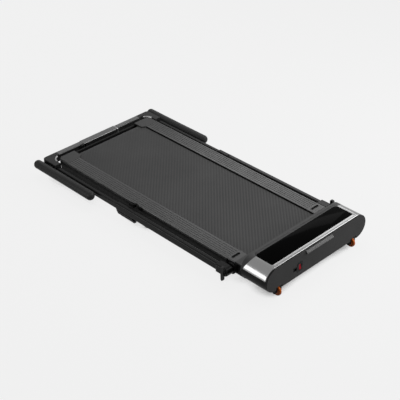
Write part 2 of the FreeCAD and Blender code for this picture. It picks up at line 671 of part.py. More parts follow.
def make_drive():
    waist = f"({motor_end} - motor_length/2)"
    shell = [(motor_start, "0"), (motor_start, "motor_radius - motor_bell"),
             (f"{motor_start} + motor_bell", "motor_radius"), (f"{motor_end} - motor_bell", "motor_radius"),
             (motor_end, "motor_radius - motor_bell"), (motor_end, "0")]
    can = turned("x", shell, "0", "motor_depth", motor_z)
    bore = rod("x", "motor_shaft + pin_fit", waist, f"{motor_end} + {overcut}", "motor_depth", motor_z)
    node("motor", cut(can, bore))
    inside = f"({waist} + shaft_gap)"
    rotor = [(inside, "0"), (inside, "motor_shaft"), (pulley_near, "motor_shaft"),
             (pulley_near, "motor_pulley"), (pulley_far, "motor_pulley"), (pulley_far, "0")]
    node("motor_rotor", turned("x", rotor, "0", "motor_depth", motor_z))
    saddle = box(f"{waist} - mount_wide/2", f"{waist} + mount_wide/2", "motor_depth - mount_deep/2",
                 "motor_depth + mount_deep/2", "housing_low + shell_wall", motor_z)
    seat = rod("x", "motor_radius", f"{motor_start} - {overcut}", f"{motor_end} + {overcut}",
               "motor_depth", motor_z)
    node("motor_mount", cut(saddle, seat))
    node("drive_roller", roller(drive_y))
    ring = [(pulley_near, "shaft_radius"), (pulley_far, "shaft_radius"), (pulley_far, "roller_pulley"),
            (pulley_near, "roller_pulley")]
    node("roller_pulley", turned("x", ring, "0", drive_y, roller_z))
    make_drive_belt()
    make_control_board()


def make_drive_belt():
    # A flat loop round the two pulleys, from the hull of two circles less a smaller hull.
    y0 = size("motor_depth") - half_length()
    z0 = size("housing_low") + size("motor_rise")
    y1 = size("housing_depth") + size("fairing_wall") + size("roller_setback") - half_length()
    z1 = size("belt_top") - size("belt_thick") - size("wrap_gap") - size("roller_radius")
    start = size("belt_wide")/2 + size("roller_over") + size("pulley_gap")

    def hull(grow):
        small = Vector(start, y0, z0)
        large = Vector(start, y1, z1)
        radius_a = size("motor_pulley") + grow
        radius_b = size("roller_pulley") + grow
        ahead = (large - small).normalize()
        side = Vector(1, 0, 0).cross(ahead)
        lean = math.asin((radius_b - radius_a)/(large - small).Length)

        def rim(centre, radius, sign):
            return centre + (side*(sign*math.cos(lean)) - ahead*math.sin(lean))*radius
        top_a, top_b = rim(small, radius_a, 1), rim(large, radius_b, 1)
        low_a, low_b = rim(small, radius_a, -1), rim(large, radius_b, -1)
        edges = [Part.LineSegment(top_a, top_b), Part.Arc(top_b, large + ahead*radius_b, low_b),
                 Part.LineSegment(low_b, low_a), Part.Arc(low_a, small - ahead*radius_a, top_a)]
        face = Part.Face(Part.Wire([edge.toShape() for edge in edges]))
        return face.extrude(Vector(size("pulley_wide"), 0, 0))
    gap = size("drive_gap")
    made = doc.addObject("Part::Feature", "DriveLoop")
    made.Shape = hull(gap + size("drive_thick")).cut(hull(gap))
    node("drive_belt", made)


def make_control_board():
    x1 = "(-board_offset)"
    x0 = f"({x1} - board_length)"
    y0 = f"({fork_back} + fork_flange + board_front_gap)"
    y1 = "(housing_depth - shell_wall - board_back_gap)"
    floor_z = "(housing_low + shell_wall)"
    plate_low = f"({floor_z} + stand_tall)"
    plate_top = f"({plate_low} + plate_thick)"
    plate = box(x0, x1, y0, y1, plate_low, plate_top)
    stands = [rod("z", "stand_radius", floor_z, plate_low, x, y)
              for x in (f"{x0} + stand_inset", f"{x1} - stand_inset")
              for y in (f"{y0} + stand_inset", f"{y1} - stand_inset")]
    node("control_board", fuse(plate, *stands))
    left = f"({x0} + sink_inset)"
    right = f"({x1} - sink_inset)"
    front = f"({y0} + sink_inset)"
    back = f"({y1} - sink_inset)"
    base = box(left, right, front, back, plate_top, f"{plate_top} + sink_base")
    pitch = f"(({right} - {left} - fin_thick)/{fin_count - 1})"
    fins = [box(f"{left} + {n}*{pitch}", f"{left} + {n}*{pitch} + fin_thick", front, back, plate_top,
                f"{plate_top} + sink_tall") for n in range(fin_count)]
    node("heat_sink", fuse(base, *fins))


# Handrail

def make_pivots():
    clear = f"({rail_outer} + ear_gap)"
    pin_start = f"({clear} + ear_gap)"
    cheek = rod("x", "cheek_radius", clear, cheek_end, pivot_y, "arm_height")
    plate = box(beam_outer, f"{beam_outer} + bracket_plate", f"{pivot_y} - cheek_radius",
                f"{pivot_y} + cheek_radius", "arm_height - bracket_half", f"{rail_low} - cap_joint")
    hole = rod("x", "pivot_radius + pin_fit", pin_start, f"{cheek_end} + {overcut}", pivot_y, "arm_height")
    node("pivot_brackets", both(cut(fuse(cheek, plate), hole)))
    pin_end = f"({knob_near} + knob_thick/2)"
    node("pivot_pins", both(rod("x", "pivot_radius", pin_start, pin_end, pivot_y, "arm_height")))
    low = "(arm_height - knob_half)"
    high = "(arm_height + knob_half)"
    paddle = [(f"{pivot_y} - knob_tip/2", low), (f"{pivot_y} + knob_tip/2", low),
              (f"{pivot_y} + knob_wide/2", high), (f"{pivot_y} - knob_wide/2", high)]
    bar = padded("x", paddle, knob_near, knob_far, "knob_tip/2.4")
    hub = rod("x", "knob_hub", knob_near, f"{knob_near} + hub_thick", pivot_y, "arm_height")
    blind = rod("x", "pivot_radius + pin_fit", f"{knob_near} - {overcut}", f"{pin_end} + pin_fit", pivot_y,
                "arm_height")
    knob = node("lock_knob_right", cut(fuse(bar, hub), blind))
    node("lock_knob_left", mirrored(knob))


def post_section(grow):
    half_x = f"(post_wide/2 + {grow})"
    half_z = f"(post_tall/2 + {grow})"
    return oblong(f"{arm_mid} - {half_x}", f"{arm_mid} + {half_x}", f"{post_z} - {half_z}",
                  f"{post_z} + {half_z}")


def make_shoe():
    # The rounded block at the front end of a thick post, turning on the pivot pin.
    reach = "(arm_tall/2 + shoe_skin)"
    side = oblong(f"{pivot_y} - {reach}", f"{pivot_y} + shoe_length", f"arm_height - {reach}",
                  f"arm_height + {reach}")
    shoe = padded("x", side, shoe_near, shoe_far)
    doc.recompute()
    bounds = shoe.Tip.Shape.BoundBox

    def nose(edge):
        return runs_along("x")(edge) and middle_of(edge).y < bounds.Center.y
    first = round_edges(shoe, shoe.Tip, f"{reach} - shoe_flat", nose)

    def rim(edge):
        return abs(abs(middle_of(edge).x - bounds.Center.x) - bounds.XLength/2) < 0.01
    round_edges(shoe, first, "shoe_edge", rim)
    return shoe


def make_posts():
    section = oblong(arm_inner, arm_outer, arm_low, f"{arm_low} + arm_tall")
    tube = padded("y", section, pivot_y, arm_end, "arm_edge")
    shoe = make_shoe()
    bore = padded("y", post_section("slide_gap"), f"{pivot_y} + bore_start", f"{arm_end} + {overcut}",
                  "post_edge")
    hole = rod("x", "pivot_radius + pin_fit", f"{shoe_near} - {overcut}", f"{shoe_far} + {overcut}", pivot_y,
               "arm_height")
    lower = node("lower_post_right", cut(fuse(tube, shoe), bore, hole))
    node("lower_post_left", mirrored(lower))
    outside = padded("y", post_section("0"), post_front, corner_front, "post_edge")
    inside = padded("y", post_section("(-post_wall)"), f"{post_front} - {overcut}",
                    f"{corner_front} + {overcut}", "post_edge - post_wall")
    upper = node("upper_post_right", cut(outside, inside))
    node("upper_post_left", mirrored(upper))


def make_clamps():
    x0 = f"({arm_inner} + clamp_inset)"
    x1 = f"({arm_outer} - clamp_inset/2)"
    start = f"({arm_end} - clamp_length)"
    low = f"({arm_low} - clamp_deep)"
    eye_y = f"({start} - eye_ahead)"
    eye_z = f"({arm_low} - eye_drop)"
    slant = [(start, arm_low), (start, low), (f"{arm_end} - clamp_slant", low), (arm_end, arm_low)]
    block = padded("x", slant, x0, x1)
    sides = [(x0, f"{x0} + clamp_ear"), (f"{x1} - clamp_ear", x1)]
    ears = [rod("x", "lever_eye", a, b, eye_y, eye_z) for a, b in sides]
    links = [box(a, b, eye_y, f"{start} + eye_ahead", f"{eye_z} - lever_eye/2", f"{eye_z} + lever_eye")
             for a, b in sides]
    pin = rod("x", "lever_pin", x0, x1, eye_y, eye_z)
    node("clamp_blocks", both(fuse(block, pin, *ears, *links)))
    inner = f"({x0} + clamp_ear + lever_gap)"
    outer = f"({x1} - clamp_ear - lever_gap)"
    top = f"({low} - lever_gap)"
    plate = [(f"{eye_y} - lever_eye/2", top), (f"{eye_y} - lever_eye/2", f"{top} - lever_thick"),
             (f"{eye_y} + lever_reach - clamp_slant/2", f"{top} - lever_thick"),
             (f"{eye_y} + lever_reach", top)]
    eye = rod("x", "lever_eye", inner, outer, eye_y, eye_z)
    hole = rod("x", "lever_pin + pin_fit", f"{x0} - {overcut}", f"{x1} + {overcut}", eye_y, eye_z)
    lever = node("clamp_lever_right", cut(fuse(padded("x", plate, inner, outer), eye), hole))
    node("clamp_lever_left", mirrored(lever))


def make_crossbar():
    bar_outline = [(bar_front, bar_low), (bar_rear, bar_low), (bar_rear, bar_top), (bar_front, bar_top)]
    bar = padded("x", bar_outline, f"-{corner_near}", corner_near, "bar_edge")
    bore = box(f"-{corner_near} - {overcut}", f"{corner_near} + {overcut}", f"{bar_front} + bar_wall",
               f"{bar_rear} - bar_wall", f"{bar_low} + bar_wall", f"{bar_top} - bar_wall")
    node("crossbar", cut(bar, rounded(bore, "bar_wall", runs_along("x"))))
    pod_front = f"({bar_front} - pod_proud)"
    pod_rear = f"({bar_rear} + pod_skin)"
    pod_low = f"({bar_low} - pod_skin)"
    pod_top = f"({bar_top} + pod_skin)"
    shell = [(pod_front, pod_low), (pod_rear, pod_low), (pod_rear, pod_top), (pod_front, pod_top)]
    cover = padded("x", shell, "-pod_half", "pod_half", "pod_edge")
    filler = padded("x", bar_outline, f"-{corner_near}", corner_near, "bar_edge")
    node("console_pod", cut(cover, filler))

    low = f"({bar_low} - corner_skin)"
    high = f"({bar_top} + corner_skin)"
    back = f"({bar_rear} + corner_skin)"
    elbow = [(corner_inner, corner_front), (corner_outer, corner_front), (corner_outer, back),
             (corner_near, back), (corner_near, bar_front), (corner_inner, bar_front)]
    body = padded("z", elbow, low, high)
    doc.recompute()
    bounds = body.Tip.Shape.BoundBox
    inner_x = bounds.XMin + size("corner_reach") - size("corner_fill")

    def inside(edge):
        spot = middle_of(edge)
        return runs_along("z")(edge) and abs(spot.x - inner_x) < 0.01 and spot.y > bounds.YMin + 1

    def outside(edge):
        spot = middle_of(edge)
        return runs_along("z")(edge) and spot.x > bounds.XMax - 0.01 and spot.y > bounds.YMax - 0.01
    first = round_edges(body, body.Tip, "corner_inner_round", inside)
    second = round_edges(body, first, "corner_outer_round", outside)

    def rim(edge):
        spot = middle_of(edge)
        level = abs(abs(spot.z - bounds.Center.z) - bounds.ZLength/2) < 0.01
        return level and spot.y > bounds.YMin + 1 and spot.x > bounds.XMin + 1
    round_edges(body, second, "corner_edge", rim)
    stud = rod("x", "stud_radius", f"{corner_outer} - corner_skin", f"{grip_mid} + stud_reach",
               grip_pivot, grip_z)
    right = node("corner_right", fuse(body, stud))
    node("corner_left", mirrored(right))


def make_grips():
    core_start = f"({grip_front} + core_short)"
    inner = f"({grip_mid} - 2*grip_radius)"
    eye_near = f"({grip_mid} - grip_radius + grip_gap/5)"
    eye_far = f"({grip_mid} + stud_reach + core_gap)"
    profile = [("0", "0"), ("0", "grip_radius"), ("grip_length", "grip_radius"), ("grip_length", "0")]
    foam = turned("y", profile, grip_mid, grip_front, grip_z)
    round_edges(foam, foam.Tip, "grip_end_round", lambda edge: isinstance(edge.Curve, Part.Circle))
    tunnel = fuse(rod("y", "core_radius + core_gap", core_start, grip_pivot, grip_mid, grip_z),
                  rod("x", "core_eye + core_gap", inner, f"{eye_far} + core_gap", grip_pivot, grip_z))
    grip = node("grip_right", cut(foam, tunnel))
    node("grip_left", mirrored(grip))
    eye = rod("x", "core_eye", eye_near, eye_far, grip_pivot, grip_z)
    stem = rod("y", "core_radius", f"{core_start} + core_gap", grip_pivot, grip_mid, grip_z)
    hole = rod("x", "stud_radius + pin_fit", inner, f"{eye_far} + {overcut}", grip_pivot, grip_z)
    hollow = rod("y", "core_radius - core_wall", f"{core_start} + core_eye", f"{grip_pivot} - core_eye",
                 grip_mid, grip_z)
    core = node("grip_core_right", cut(fuse(eye, stem), hole, hollow))
    node("grip_core_left", mirrored(core))


def faults():
    doc.recompute()
    bad = [thing.Label for thing in doc.Objects if {"Invalid", "Error"} & set(thing.State)]
    for label, thing in nodes.items():
        shape = thing.Shape
        if shape.isNull() or not shape.isValid() or not shape.Solids:
            bad.append(label)
    return bad


make_cap()
make_carry_lip()
make_housing()
make_switch()
make_wheels()
make_rails()
make_deck()
make_deck_hinge()
make_drive()
make_pivots()
make_posts()
make_clamps()
make_crossbar()
make_grips()

wrong = faults()
if wrong:
    raise RuntimeError("failed: " + ", ".join(wrong))
os.makedirs("parts", exist_ok=True)
for label, thing in nodes.items():
    thing.Shape.exportStep(f"parts/{label}.step")
    print(label, len(thing.Shape.Solids), round(thing.Shape.Volume/1000, 1))
print(len(nodes), "nodes")
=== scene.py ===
import bpy
import bmesh
import math
from mathutils import Matrix, Vector


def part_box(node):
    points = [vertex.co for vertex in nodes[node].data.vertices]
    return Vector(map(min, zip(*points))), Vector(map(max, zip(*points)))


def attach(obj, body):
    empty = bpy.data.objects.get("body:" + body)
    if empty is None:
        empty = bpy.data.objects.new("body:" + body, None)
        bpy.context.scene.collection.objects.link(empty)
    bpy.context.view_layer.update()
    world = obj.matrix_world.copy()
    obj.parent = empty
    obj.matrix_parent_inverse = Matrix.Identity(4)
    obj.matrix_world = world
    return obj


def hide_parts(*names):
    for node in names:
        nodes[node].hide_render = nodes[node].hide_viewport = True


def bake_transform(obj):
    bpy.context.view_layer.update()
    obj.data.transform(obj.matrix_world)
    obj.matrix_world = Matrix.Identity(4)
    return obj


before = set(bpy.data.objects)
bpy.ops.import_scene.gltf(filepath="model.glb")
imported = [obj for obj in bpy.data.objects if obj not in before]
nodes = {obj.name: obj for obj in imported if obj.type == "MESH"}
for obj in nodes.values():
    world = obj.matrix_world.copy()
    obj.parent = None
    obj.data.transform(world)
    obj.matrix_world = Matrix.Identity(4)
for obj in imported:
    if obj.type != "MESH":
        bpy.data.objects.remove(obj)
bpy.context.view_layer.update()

print("frame loaded:", len(nodes), "nodes")


# camera

camera = {
    "place": (-2.8111, -2.8633, 2.6756),  # metres, fitted to the photograph
    "azimuth": -44.70,
    "elevation": 33.41,
    "lens": 92.46,
    "sensor": 36.0,
    "clip": 60.0,
}


def makeCamera():
    data = bpy.data.cameras.new("viewCamera")
    data.lens = camera["lens"]
    data.sensor_width = camera["sensor"]
    data.clip_end = camera["clip"]
    seat = bpy.data.objects.new("viewCamera", data)
    turn = math.radians(camera["azimuth"])
    rise = math.radians(camera["elevation"])
    back = Vector((math.sin(turn) * math.cos(rise), -math.cos(turn) * math.cos(rise), math.sin(rise)))
    seat.rotation_euler = (-back).to_track_quat("-Z", "Y").to_euler()
    seat.location = camera["place"]
    bpy.context.scene.collection.objects.link(seat)
    bpy.context.scene.camera = seat


# shader helpers

noiseSpan = (0.3, 0.7)  # where nearly all of a noise lies
bandFactor = 20         # the wave node's own factor


def grey(level):
    return (level, level, level)


def opaque(colour):
    return tuple(colour) + (1,)


def addNode(tree, kind, values=None, operation=None):
    node = tree.nodes.new("ShaderNode" + kind)
    if operation:
        node.operation = operation
    for entry, value in (values or {}).items():
        node.inputs[entry].default_value = value
    return node


def feed(tree, values, sockets):
    # numbers are set, outputs are linked
    for value, socket in zip(values, sockets):
        if isinstance(value, (int, float)):
            socket.default_value = value
        else:
            tree.links.new(value, socket)


def joined(tree, operation, first, second):
    node = addNode(tree, "Math", operation=operation)
    feed(tree, (first, second), node.inputs)
    return node.outputs[0]


def mixedBy(tree, share, first, second):
    node = addNode(tree, "MixShader")
    feed(tree, (share, first, second), node.inputs)
    return node.outputs[0]


def shadeBetween(tree, value, low, high, span=noiseSpan):
    ramp = addNode(tree, "ValToRGB")
    for element, position, colour in zip(ramp.color_ramp.elements, span, (low, high)):
        element.position = position
        element.color = opaque(colour)
    tree.links.new(value, ramp.inputs["Fac"])
    return ramp.outputs["Color"]


def spreadOver(tree, value, span, low, high):
    limits = {"From Min": span[0], "From Max": span[1], "To Min": low, "To Max": high}
    spread = addNode(tree, "MapRange", limits)
    tree.links.new(value, spread.inputs["Value"])
    return spread.outputs["Result"]


def noiseOn(tree, place, scale, detail, stretch=None):
    if stretch:
        fit = addNode(tree, "Mapping", {"Scale": stretch})
        tree.links.new(place, fit.inputs["Vector"])
        place = fit.outputs["Vector"]
    noise = addNode(tree, "TexNoise", {"Scale": scale, "Detail": detail})
    tree.links.new(place, noise.inputs["Vector"])
    return noise.outputs["Fac"]


def tint(tree, shader, value, colour, drift, span=noiseSpan):
    # the colour drifts between two shares of itself
    low, high = ([c * share for c in colour] for share in drift)
    tree.links.new(shadeBetween(tree, value, low, high, span), shader.inputs["Base Color"])


def polish(tree, shader, value, low, high):
    tree.links.new(spreadOver(tree, value, noiseSpan, low, high), shader.inputs["Roughness"])


def bumpFrom(tree, shader, value, strength, depth):
    bump = addNode(tree, "Bump", {"Strength": strength, "Distance": depth})
    tree.links.new(value, bump.inputs["Height"])
    tree.links.new(bump.outputs["Normal"], shader.inputs["Normal"])


def seenDirectly(tree):
    # 1 on camera, glossy and transmission rays
    path = addNode(tree, "LightPath").outputs
    either = joined(tree, "MAXIMUM", path["Is Camera Ray"], path["Is Glossy Ray"])
    return joined(tree, "MAXIMUM", either, path["Is Transmission Ray"])


# stage

stage = {
    "paper": 0.892,       # what the camera sees of floor and backdrop
    "floorBounce": 0.14,  # share of the light that the floor throws back up
    "shadow": 0.05,       # share of the floor's look that the lamps' shadows reach
    # gapReach, gapDark, gapClear and gapShade set a painted shade: the floor's glow darkens where the object
    # is near
    "gapReach": 0.10,     # metres, how near a thing has to be to darken the floor
    "gapDark": 0.16,
    "gapClear": 0.42,
    "gapShade": 0.004,
    "skyLight": 0.12,
    "floorSize": 24.0,
}


def makeWorld():
    world = bpy.data.worlds.new("studioSky")
    bpy.context.scene.world = world
    world.use_nodes = True
    tree = world.node_tree
    tree.nodes.clear()
    shown = addNode(tree, "Background", {"Color": opaque(grey(stage["paper"]))})
    lit = addNode(tree, "Background", {"Color": opaque(grey(1)), "Strength": stage["skyLight"]})
    pick = mixedBy(tree, seenDirectly(tree), lit.outputs[0], shown.outputs[0])
    tree.links.new(pick, addNode(tree, "OutputWorld").inputs[0])


def makeFloor():
    mesh = bpy.data.meshes.new("studioFloor")
    shape = bmesh.new()
    bmesh.ops.create_grid(shape, x_segments=2, y_segments=2, size=stage["floorSize"] / 2)
    shape.to_mesh(mesh)
    shape.free()
    floor = bpy.data.objects.new("studioFloor", mesh)
    bpy.context.scene.collection.objects.link(floor)
    paint = bpy.data.materials.new("paperFloor")
    paint.use_nodes = True
    tree = paint.node_tree
    tree.nodes.clear()
    # painted shade: the floor's shown colour darkens towards gapShade where ambient occlusion finds the
    # object near
    near = addNode(tree, "AmbientOcclusion", {"Distance": stage["gapReach"]})
    lit = shadeBetween(tree, near.outputs["AO"], grey(stage["gapShade"]), grey(stage["paper"]),
                       (stage["gapDark"], stage["gapClear"]))
    bounce = addNode(tree, "BsdfDiffuse", {"Color": opaque(grey(stage["floorBounce"]))})
    shaded = addNode(tree, "BsdfDiffuse")
    glow = addNode(tree, "Emission")
    for node in (shaded, glow):
        tree.links.new(lit, node.inputs["Color"])
    shown = mixedBy(tree, stage["shadow"], glow.outputs[0], shaded.outputs[0])
    pick = mixedBy(tree, seenDirectly(tree), bounce.outputs[0], shown)
    tree.links.new(pick, addNode(tree, "OutputMaterial").inputs[0])
    mesh.materials.append(paint)


# power in watts; a lamp that isn't lighting shows only in gloss
lamps = {
    "overhead": {
        "place": (0.3, 0.3, 3.2), "aim": (0, 0, 0.1), "size": (2.2, 2.2), "power": 46, "mirrored": False,
    },
    "rightKey": {
        "place": (1.7, -0.9, 1.6), "aim": (0.1, -0.2, 0.1), "size": (1.2, 1.2), "power": 20,
    },
    "frontFill": {
        "place": (1.6, -2.2, 1.3), "aim": (0, -0.6, 0.1), "size": (2.0, 1.6), "power": 30,
    },
    "rearStrip": {
        "place": (0.6, 3.0, 1.2), "aim": (0, 0.6, 0.1), "size": (2.4, 0.7), "power": 10, "mirrored": False,
    },
    "rightRim": {
        "place": (1.32, 0.62, 0.96), "aim": (0.26, -0.3, 0.1), "size": (1.2, 0.4), "power": 4,
        "lighting": False,
    },
    "leftCard": {
        "place": (-2.5, 0.72, 0.62), "aim": (-0.32, -0.66, 0.12), "size": (2.2, 1.3), "power": 40,
        "lighting": False,
    },
}


def makeLamps():
    for name, lamp in lamps.items():
        data = bpy.data.lights.new(name, "AREA")
        data.shape = "RECTANGLE"
        data.size, data.size_y = lamp["size"]
        data.energy = lamp["power"]
        seat = bpy.data.objects.new(name, data)
        seat.location = lamp["place"]
        seat.visible_glossy = lamp.get("mirrored", True)
        seat.visible_diffuse = lamp.get("lighting", True)
        aim = Vector(lamp["aim"]) - Vector(lamp["place"])
        seat.rotation_euler = aim.to_track_quat("-Z", "Y").to_euler()
        bpy.context.scene.collection.objects.link(seat)


# finishes

def newFinish(name, rough, metal=0.0, specular=0.5):
    finish = bpy.data.materials.new(name)
    finish.use_nodes = True
    tree = finish.node_tree
    shader = tree.nodes["Principled BSDF"]
    shader.inputs["Roughness"].default_value = rough
    shader.inputs["Metallic"].default_value = metal
    shader.inputs["Specular IOR Level"].default_value = specular
    return finish, tree, shader, addNode(tree, "TexCoord").outputs["Object"]


mouldedFields = ("colour", "rough", "drift", "grain", "bump", "specular")
mouldedLooks = {
    "capPlastic": (grey(0.047), 0.55, 0.05, 1500, 0.10, 0.12),
    # lighter than the cap: painted light for the carry lip's lit top
    "lipPaintedLight": (grey(0.066), 0.4, 0.05, 1500, 0.10, 0.25),
    "shellPlastic": (grey(0.008), 0.5, 0.06, 1400, 0.10, 0.08),
    "panelBlack": (grey(0.004), 0.35, 0.1, 1600, 0.05, 0.1),
    "fairingPlastic": (grey(0.060), 0.6, 0.05, 1400, 0.10, 0.15),
    "railPlastic": (grey(0.040), 0.36, 0.06, 1200, 0.08, 0.35),
    "railEndPlastic": (grey(0.042), 0.5, 0.06, 1200, 0.14, 0.2),
    # near black: painted shade on the rails' lower side walls, and the hinge leaves' own black
    "skirtShadeAndHingeBlack": (grey(0.006), 0.5, 0.08, 1200, 0.1, 0.04),
    "cornerPlastic": (grey(0.022), 0.34, 0.06, 1600, 0.08, 0.12),
    "fittingPlastic": (grey(0.014), 0.36, 0.06, 1600, 0.08, 0.12),
    # near black: painted shade in the gap beside the belt and on the finger slot's floor
    "paintedShadeBlack": (grey(0.005), 0.8, 0.1, 900, 0.1, 0.05),
    "footRubber": (grey(0.012), 0.8, 0.1, 900, 0.2, 0.1),
    "wheelOrange": ((0.80, 0.17, 0.010), 0.28, 0.06, 900, 0.05, 0.15),
    "switchRed": ((0.46, 0.008, 0.020), 0.25, 0.04, 1500, 0.02, 0.06),
    "boardGreen": ((0.01, 0.07, 0.025), 0.4, 0.2, 700, 0.05, 0.4),
    "driveRubber": (grey(0.014), 0.75, 0.1, 900, 0.15, 0.15),
}
mouldedGrain = {"cloud": 14, "cloudDetail": 4, "gloss": 0.05, "detail": 2, "depth": 0.0004}


def moulded(name, row):
    # fine spark-eroded plastic: grain in the bump, soft clouds in colour and gloss
    look, fine = dict(zip(mouldedFields, row)), mouldedGrain
    rough, drift = look["rough"], look["drift"]
    finish, tree, shader, place = newFinish(name, rough, specular=look["specular"])
    clouds = noiseOn(tree, place, fine["cloud"], fine["cloudDetail"])
    tint(tree, shader, clouds, look["colour"], (1 - drift, 1 + drift))
    polish(tree, shader, clouds, rough - fine["gloss"], rough + fine["gloss"])
    bumpFrom(tree, shader, noiseOn(tree, place, look["grain"], fine["detail"]), look["bump"], fine["depth"])
    return finish


# where the painted shade on the cap's rim starts behind the front, how far it fades in, and how dark it gets
capRimShade = {"from": 0.0006, "over": 0.0008, "share": 0.06}


def paintedShadeRim(finish):
    # painted shade: the cap's colour is darkened round its rim, behind its grey front face, standing in for
    # its shaded sides
    tree = finish.node_tree
    shader = tree.nodes["Principled BSDF"]
    colour = shader.inputs["Base Color"].links[0].from_socket
    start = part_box("front_cap")[0].y + capRimShade["from"]
    apart = addNode(tree, "SeparateXYZ")
    tree.links.new(addNode(tree, "TexCoord").outputs["Object"], apart.inputs[0])
    front = spreadOver(tree, apart.outputs["Y"], (start, start + capRimShade["over"]), 1.0, capRimShade["share"])
    shaded = addNode(tree, "VectorMath", operation="MULTIPLY")
    feed(tree, (colour, front), shaded.inputs)
    tree.links.new(shaded.outputs[0], shader.inputs["Base Color"])


silver = {
    "colour": grey(0.24), "rough": 0.24, "metal": 1.0, "drift": (0.93, 1.05), "flake": 2600, "flakeDetail": 1,
    "haze": 9, "hazeDetail": 3, "gloss": 0.03, "bump": 0.02, "depth": 0.0002,
}


def silverPaint():
    look, rough = silver, silver["rough"]
    finish, tree, shader, place = newFinish("silverPaint", rough, look["metal"])
    flakes = noiseOn(tree, place, look["flake"], look["flakeDetail"])
    tint(tree, shader, flakes, look["colour"], look["drift"])
    haze = noiseOn(tree, place, look["haze"], look["hazeDetail"])
    polish(tree, shader, haze, rough - look["gloss"], rough + look["gloss"])
    bumpFrom(tree, shader, flakes, look["bump"], look["depth"])
    return finish


displayLook = {
    "colour": grey(0.0022), "rough": 0.08, "specular": 0.004, "drift": (0.85, 1.15),
    "film": 6, "filmDetail": 4, "gloss": (0.05, 0.11),
}


def displayGlass():
    look = displayLook
    finish, tree, shader, place = newFinish("displayGlass", look["rough"], specular=look["specular"])
    film = noiseOn(tree, place, look["film"], look["filmDetail"])
    tint(tree, shader, film, look["colour"], look["drift"])
    polish(tree, shader, film, *look["gloss"])
    return finish


belt = {
    "colour": grey(0.052), "rough": 0.75, "specular": 0.2, "contrast": 0.20, "toneSpan": (0.1, 0.8),
    "weave": 0.0042, "line": 0.0134, "slant": 44.7, "lineShare": 0.7,
    "fade": (-0.2, 0.55), "faded": 0.25,  # the lines are worn off towards the rear
    "wear": 5, "wearDetail": 4, "gloss": 0.06, "bump": 0.4, "depth": 0.0006,
}


def slantedLines(tree, place, period, slant):
    fit = addNode(tree, "Mapping", {"Rotation": (0, 0, math.radians(slant))})
    tree.links.new(place, fit.inputs["Vector"])
    wave = addNode(tree, "TexWave", {"Scale": 2 * math.pi / (bandFactor * period), "Distortion": 0.0})
    wave.bands_direction = "X"
    tree.links.new(fit.outputs["Vector"], wave.inputs["Vector"])
    return wave.outputs["Fac"]


def beltRubber():
    # broad slanted lines in the tone, a fine diamond in the tread
    look, rough, slant = belt, belt["rough"], belt["slant"]
    finish, tree, shader, place = newFinish("beltRubber", rough, specular=look["specular"])
    lines = slantedLines(tree, place, look["line"], slant)
    weave = [slantedLines(tree, place, look["weave"], turn) for turn in (slant, -slant)]
    diamond = joined(tree, "MULTIPLY", *weave)
    along = addNode(tree, "SeparateXYZ")
    tree.links.new(place, along.inputs[0])
    worn = spreadOver(tree, along.outputs["Y"], look["fade"], 1.0, look["faded"])
    swing = joined(tree, "MULTIPLY", joined(tree, "SUBTRACT", lines, 0.5), worn)
    lines = joined(tree, "MULTIPLY", joined(tree, "ADD", swing, 0.5), look["lineShare"])
    tone = joined(tree, "ADD", lines, joined(tree, "MULTIPLY", diamond, 1 - look["lineShare"]))
    tint(tree, shader, tone, look["colour"], (1 - look["contrast"], 1 + look["contrast"]), look["toneSpan"])
    wear = noiseOn(tree, place, look["wear"], look["wearDetail"])
    polish(tree, shader, wear, rough - look["gloss"], rough + look["gloss"])
    bumpFrom(tree, shader, tone, look["bump"], look["depth"])
    return finish


coats = {
    "postPaint": {"colour": grey(0.006), "rough": 0.22, "peel": 700, "specular": 0.10},
    "framePaint": {"colour": grey(0.010), "rough": 0.45, "peel": 500, "specular": 0.05},
    # lighter grey: painted light on the tops of the rear bar and the console pod
    "barTopPaintedLight": {"colour": grey(0.125), "rough": 0.32, "peel": 700, "specular": 0.2},
}
coatGrain = {
    "drift": (0.92, 1.08), "cloud": 11, "cloudDetail": 3, "peelDetail": 2, "gloss": 0.06,
    "bump": 0.06, "depth": 0.0003,
}


def powderCoat(name, look):
    fine, rough = coatGrain, look["rough"]
    finish, tree, shader, place = newFinish(name, rough, specular=look["specular"])
    peel = noiseOn(tree, place, look["peel"], fine["peelDetail"])
    clouds = noiseOn(tree, place, fine["cloud"], fine["cloudDetail"])
    tint(tree, shader, clouds, look["colour"], fine["drift"])
    polish(tree, shader, peel, rough - fine["gloss"], rough + fine["gloss"])
    bumpFrom(tree, shader, peel, fine["bump"], fine["depth"])
    return finish


foam = {
    "colour": grey(0.028), "rough": 0.45, "specular": 0.10, "drift": (0.75, 1.2),
    "pore": 1700, "poreSpan": (0.05, 0.6), "bump": 0.25, "depth": 0.0004,
}


def gripFoam():
    finish, tree, shader, place = newFinish("gripFoam", foam["rough"], specular=foam["specular"])
    pores = addNode(tree, "TexVoronoi", {"Scale": foam["pore"]})
    tree.links.new(place, pores.inputs["Vector"])
    tint(tree, shader, pores.outputs["Distance"], foam["colour"], foam["drift"], foam["poreSpan"])
    bumpFrom(tree, shader, pores.outputs["Distance"], foam["bump"], foam["depth"])
    return finish


metals = {  # colour, roughness
    "turnedSteel": (grey(0.5), 0.3),
    "sinkMetal": (grey(0.6), 0.42),
    "satinTrim": (grey(0.30), 0.28),
}
metalGrain = {
    "line": 60, "lineDetail": 2, "stretch": (40, 1, 1), "drift": (0.85, 1.1), "gloss": (-0.06, 0.08),
}


def turnedMetal(name, colour, rough):
    # lathe lines round an axle that runs along x
    fine = metalGrain
    finish, tree, shader, place = newFinish(name, rough, metal=1.0)
    lines = noiseOn(tree, place, fine["line"], fine["lineDetail"], fine["stretch"])
    tint(tree, shader, lines, colour, fine["drift"])
    polish(tree, shader, lines, *(rough + step for step in fine["gloss"]))
    return finish


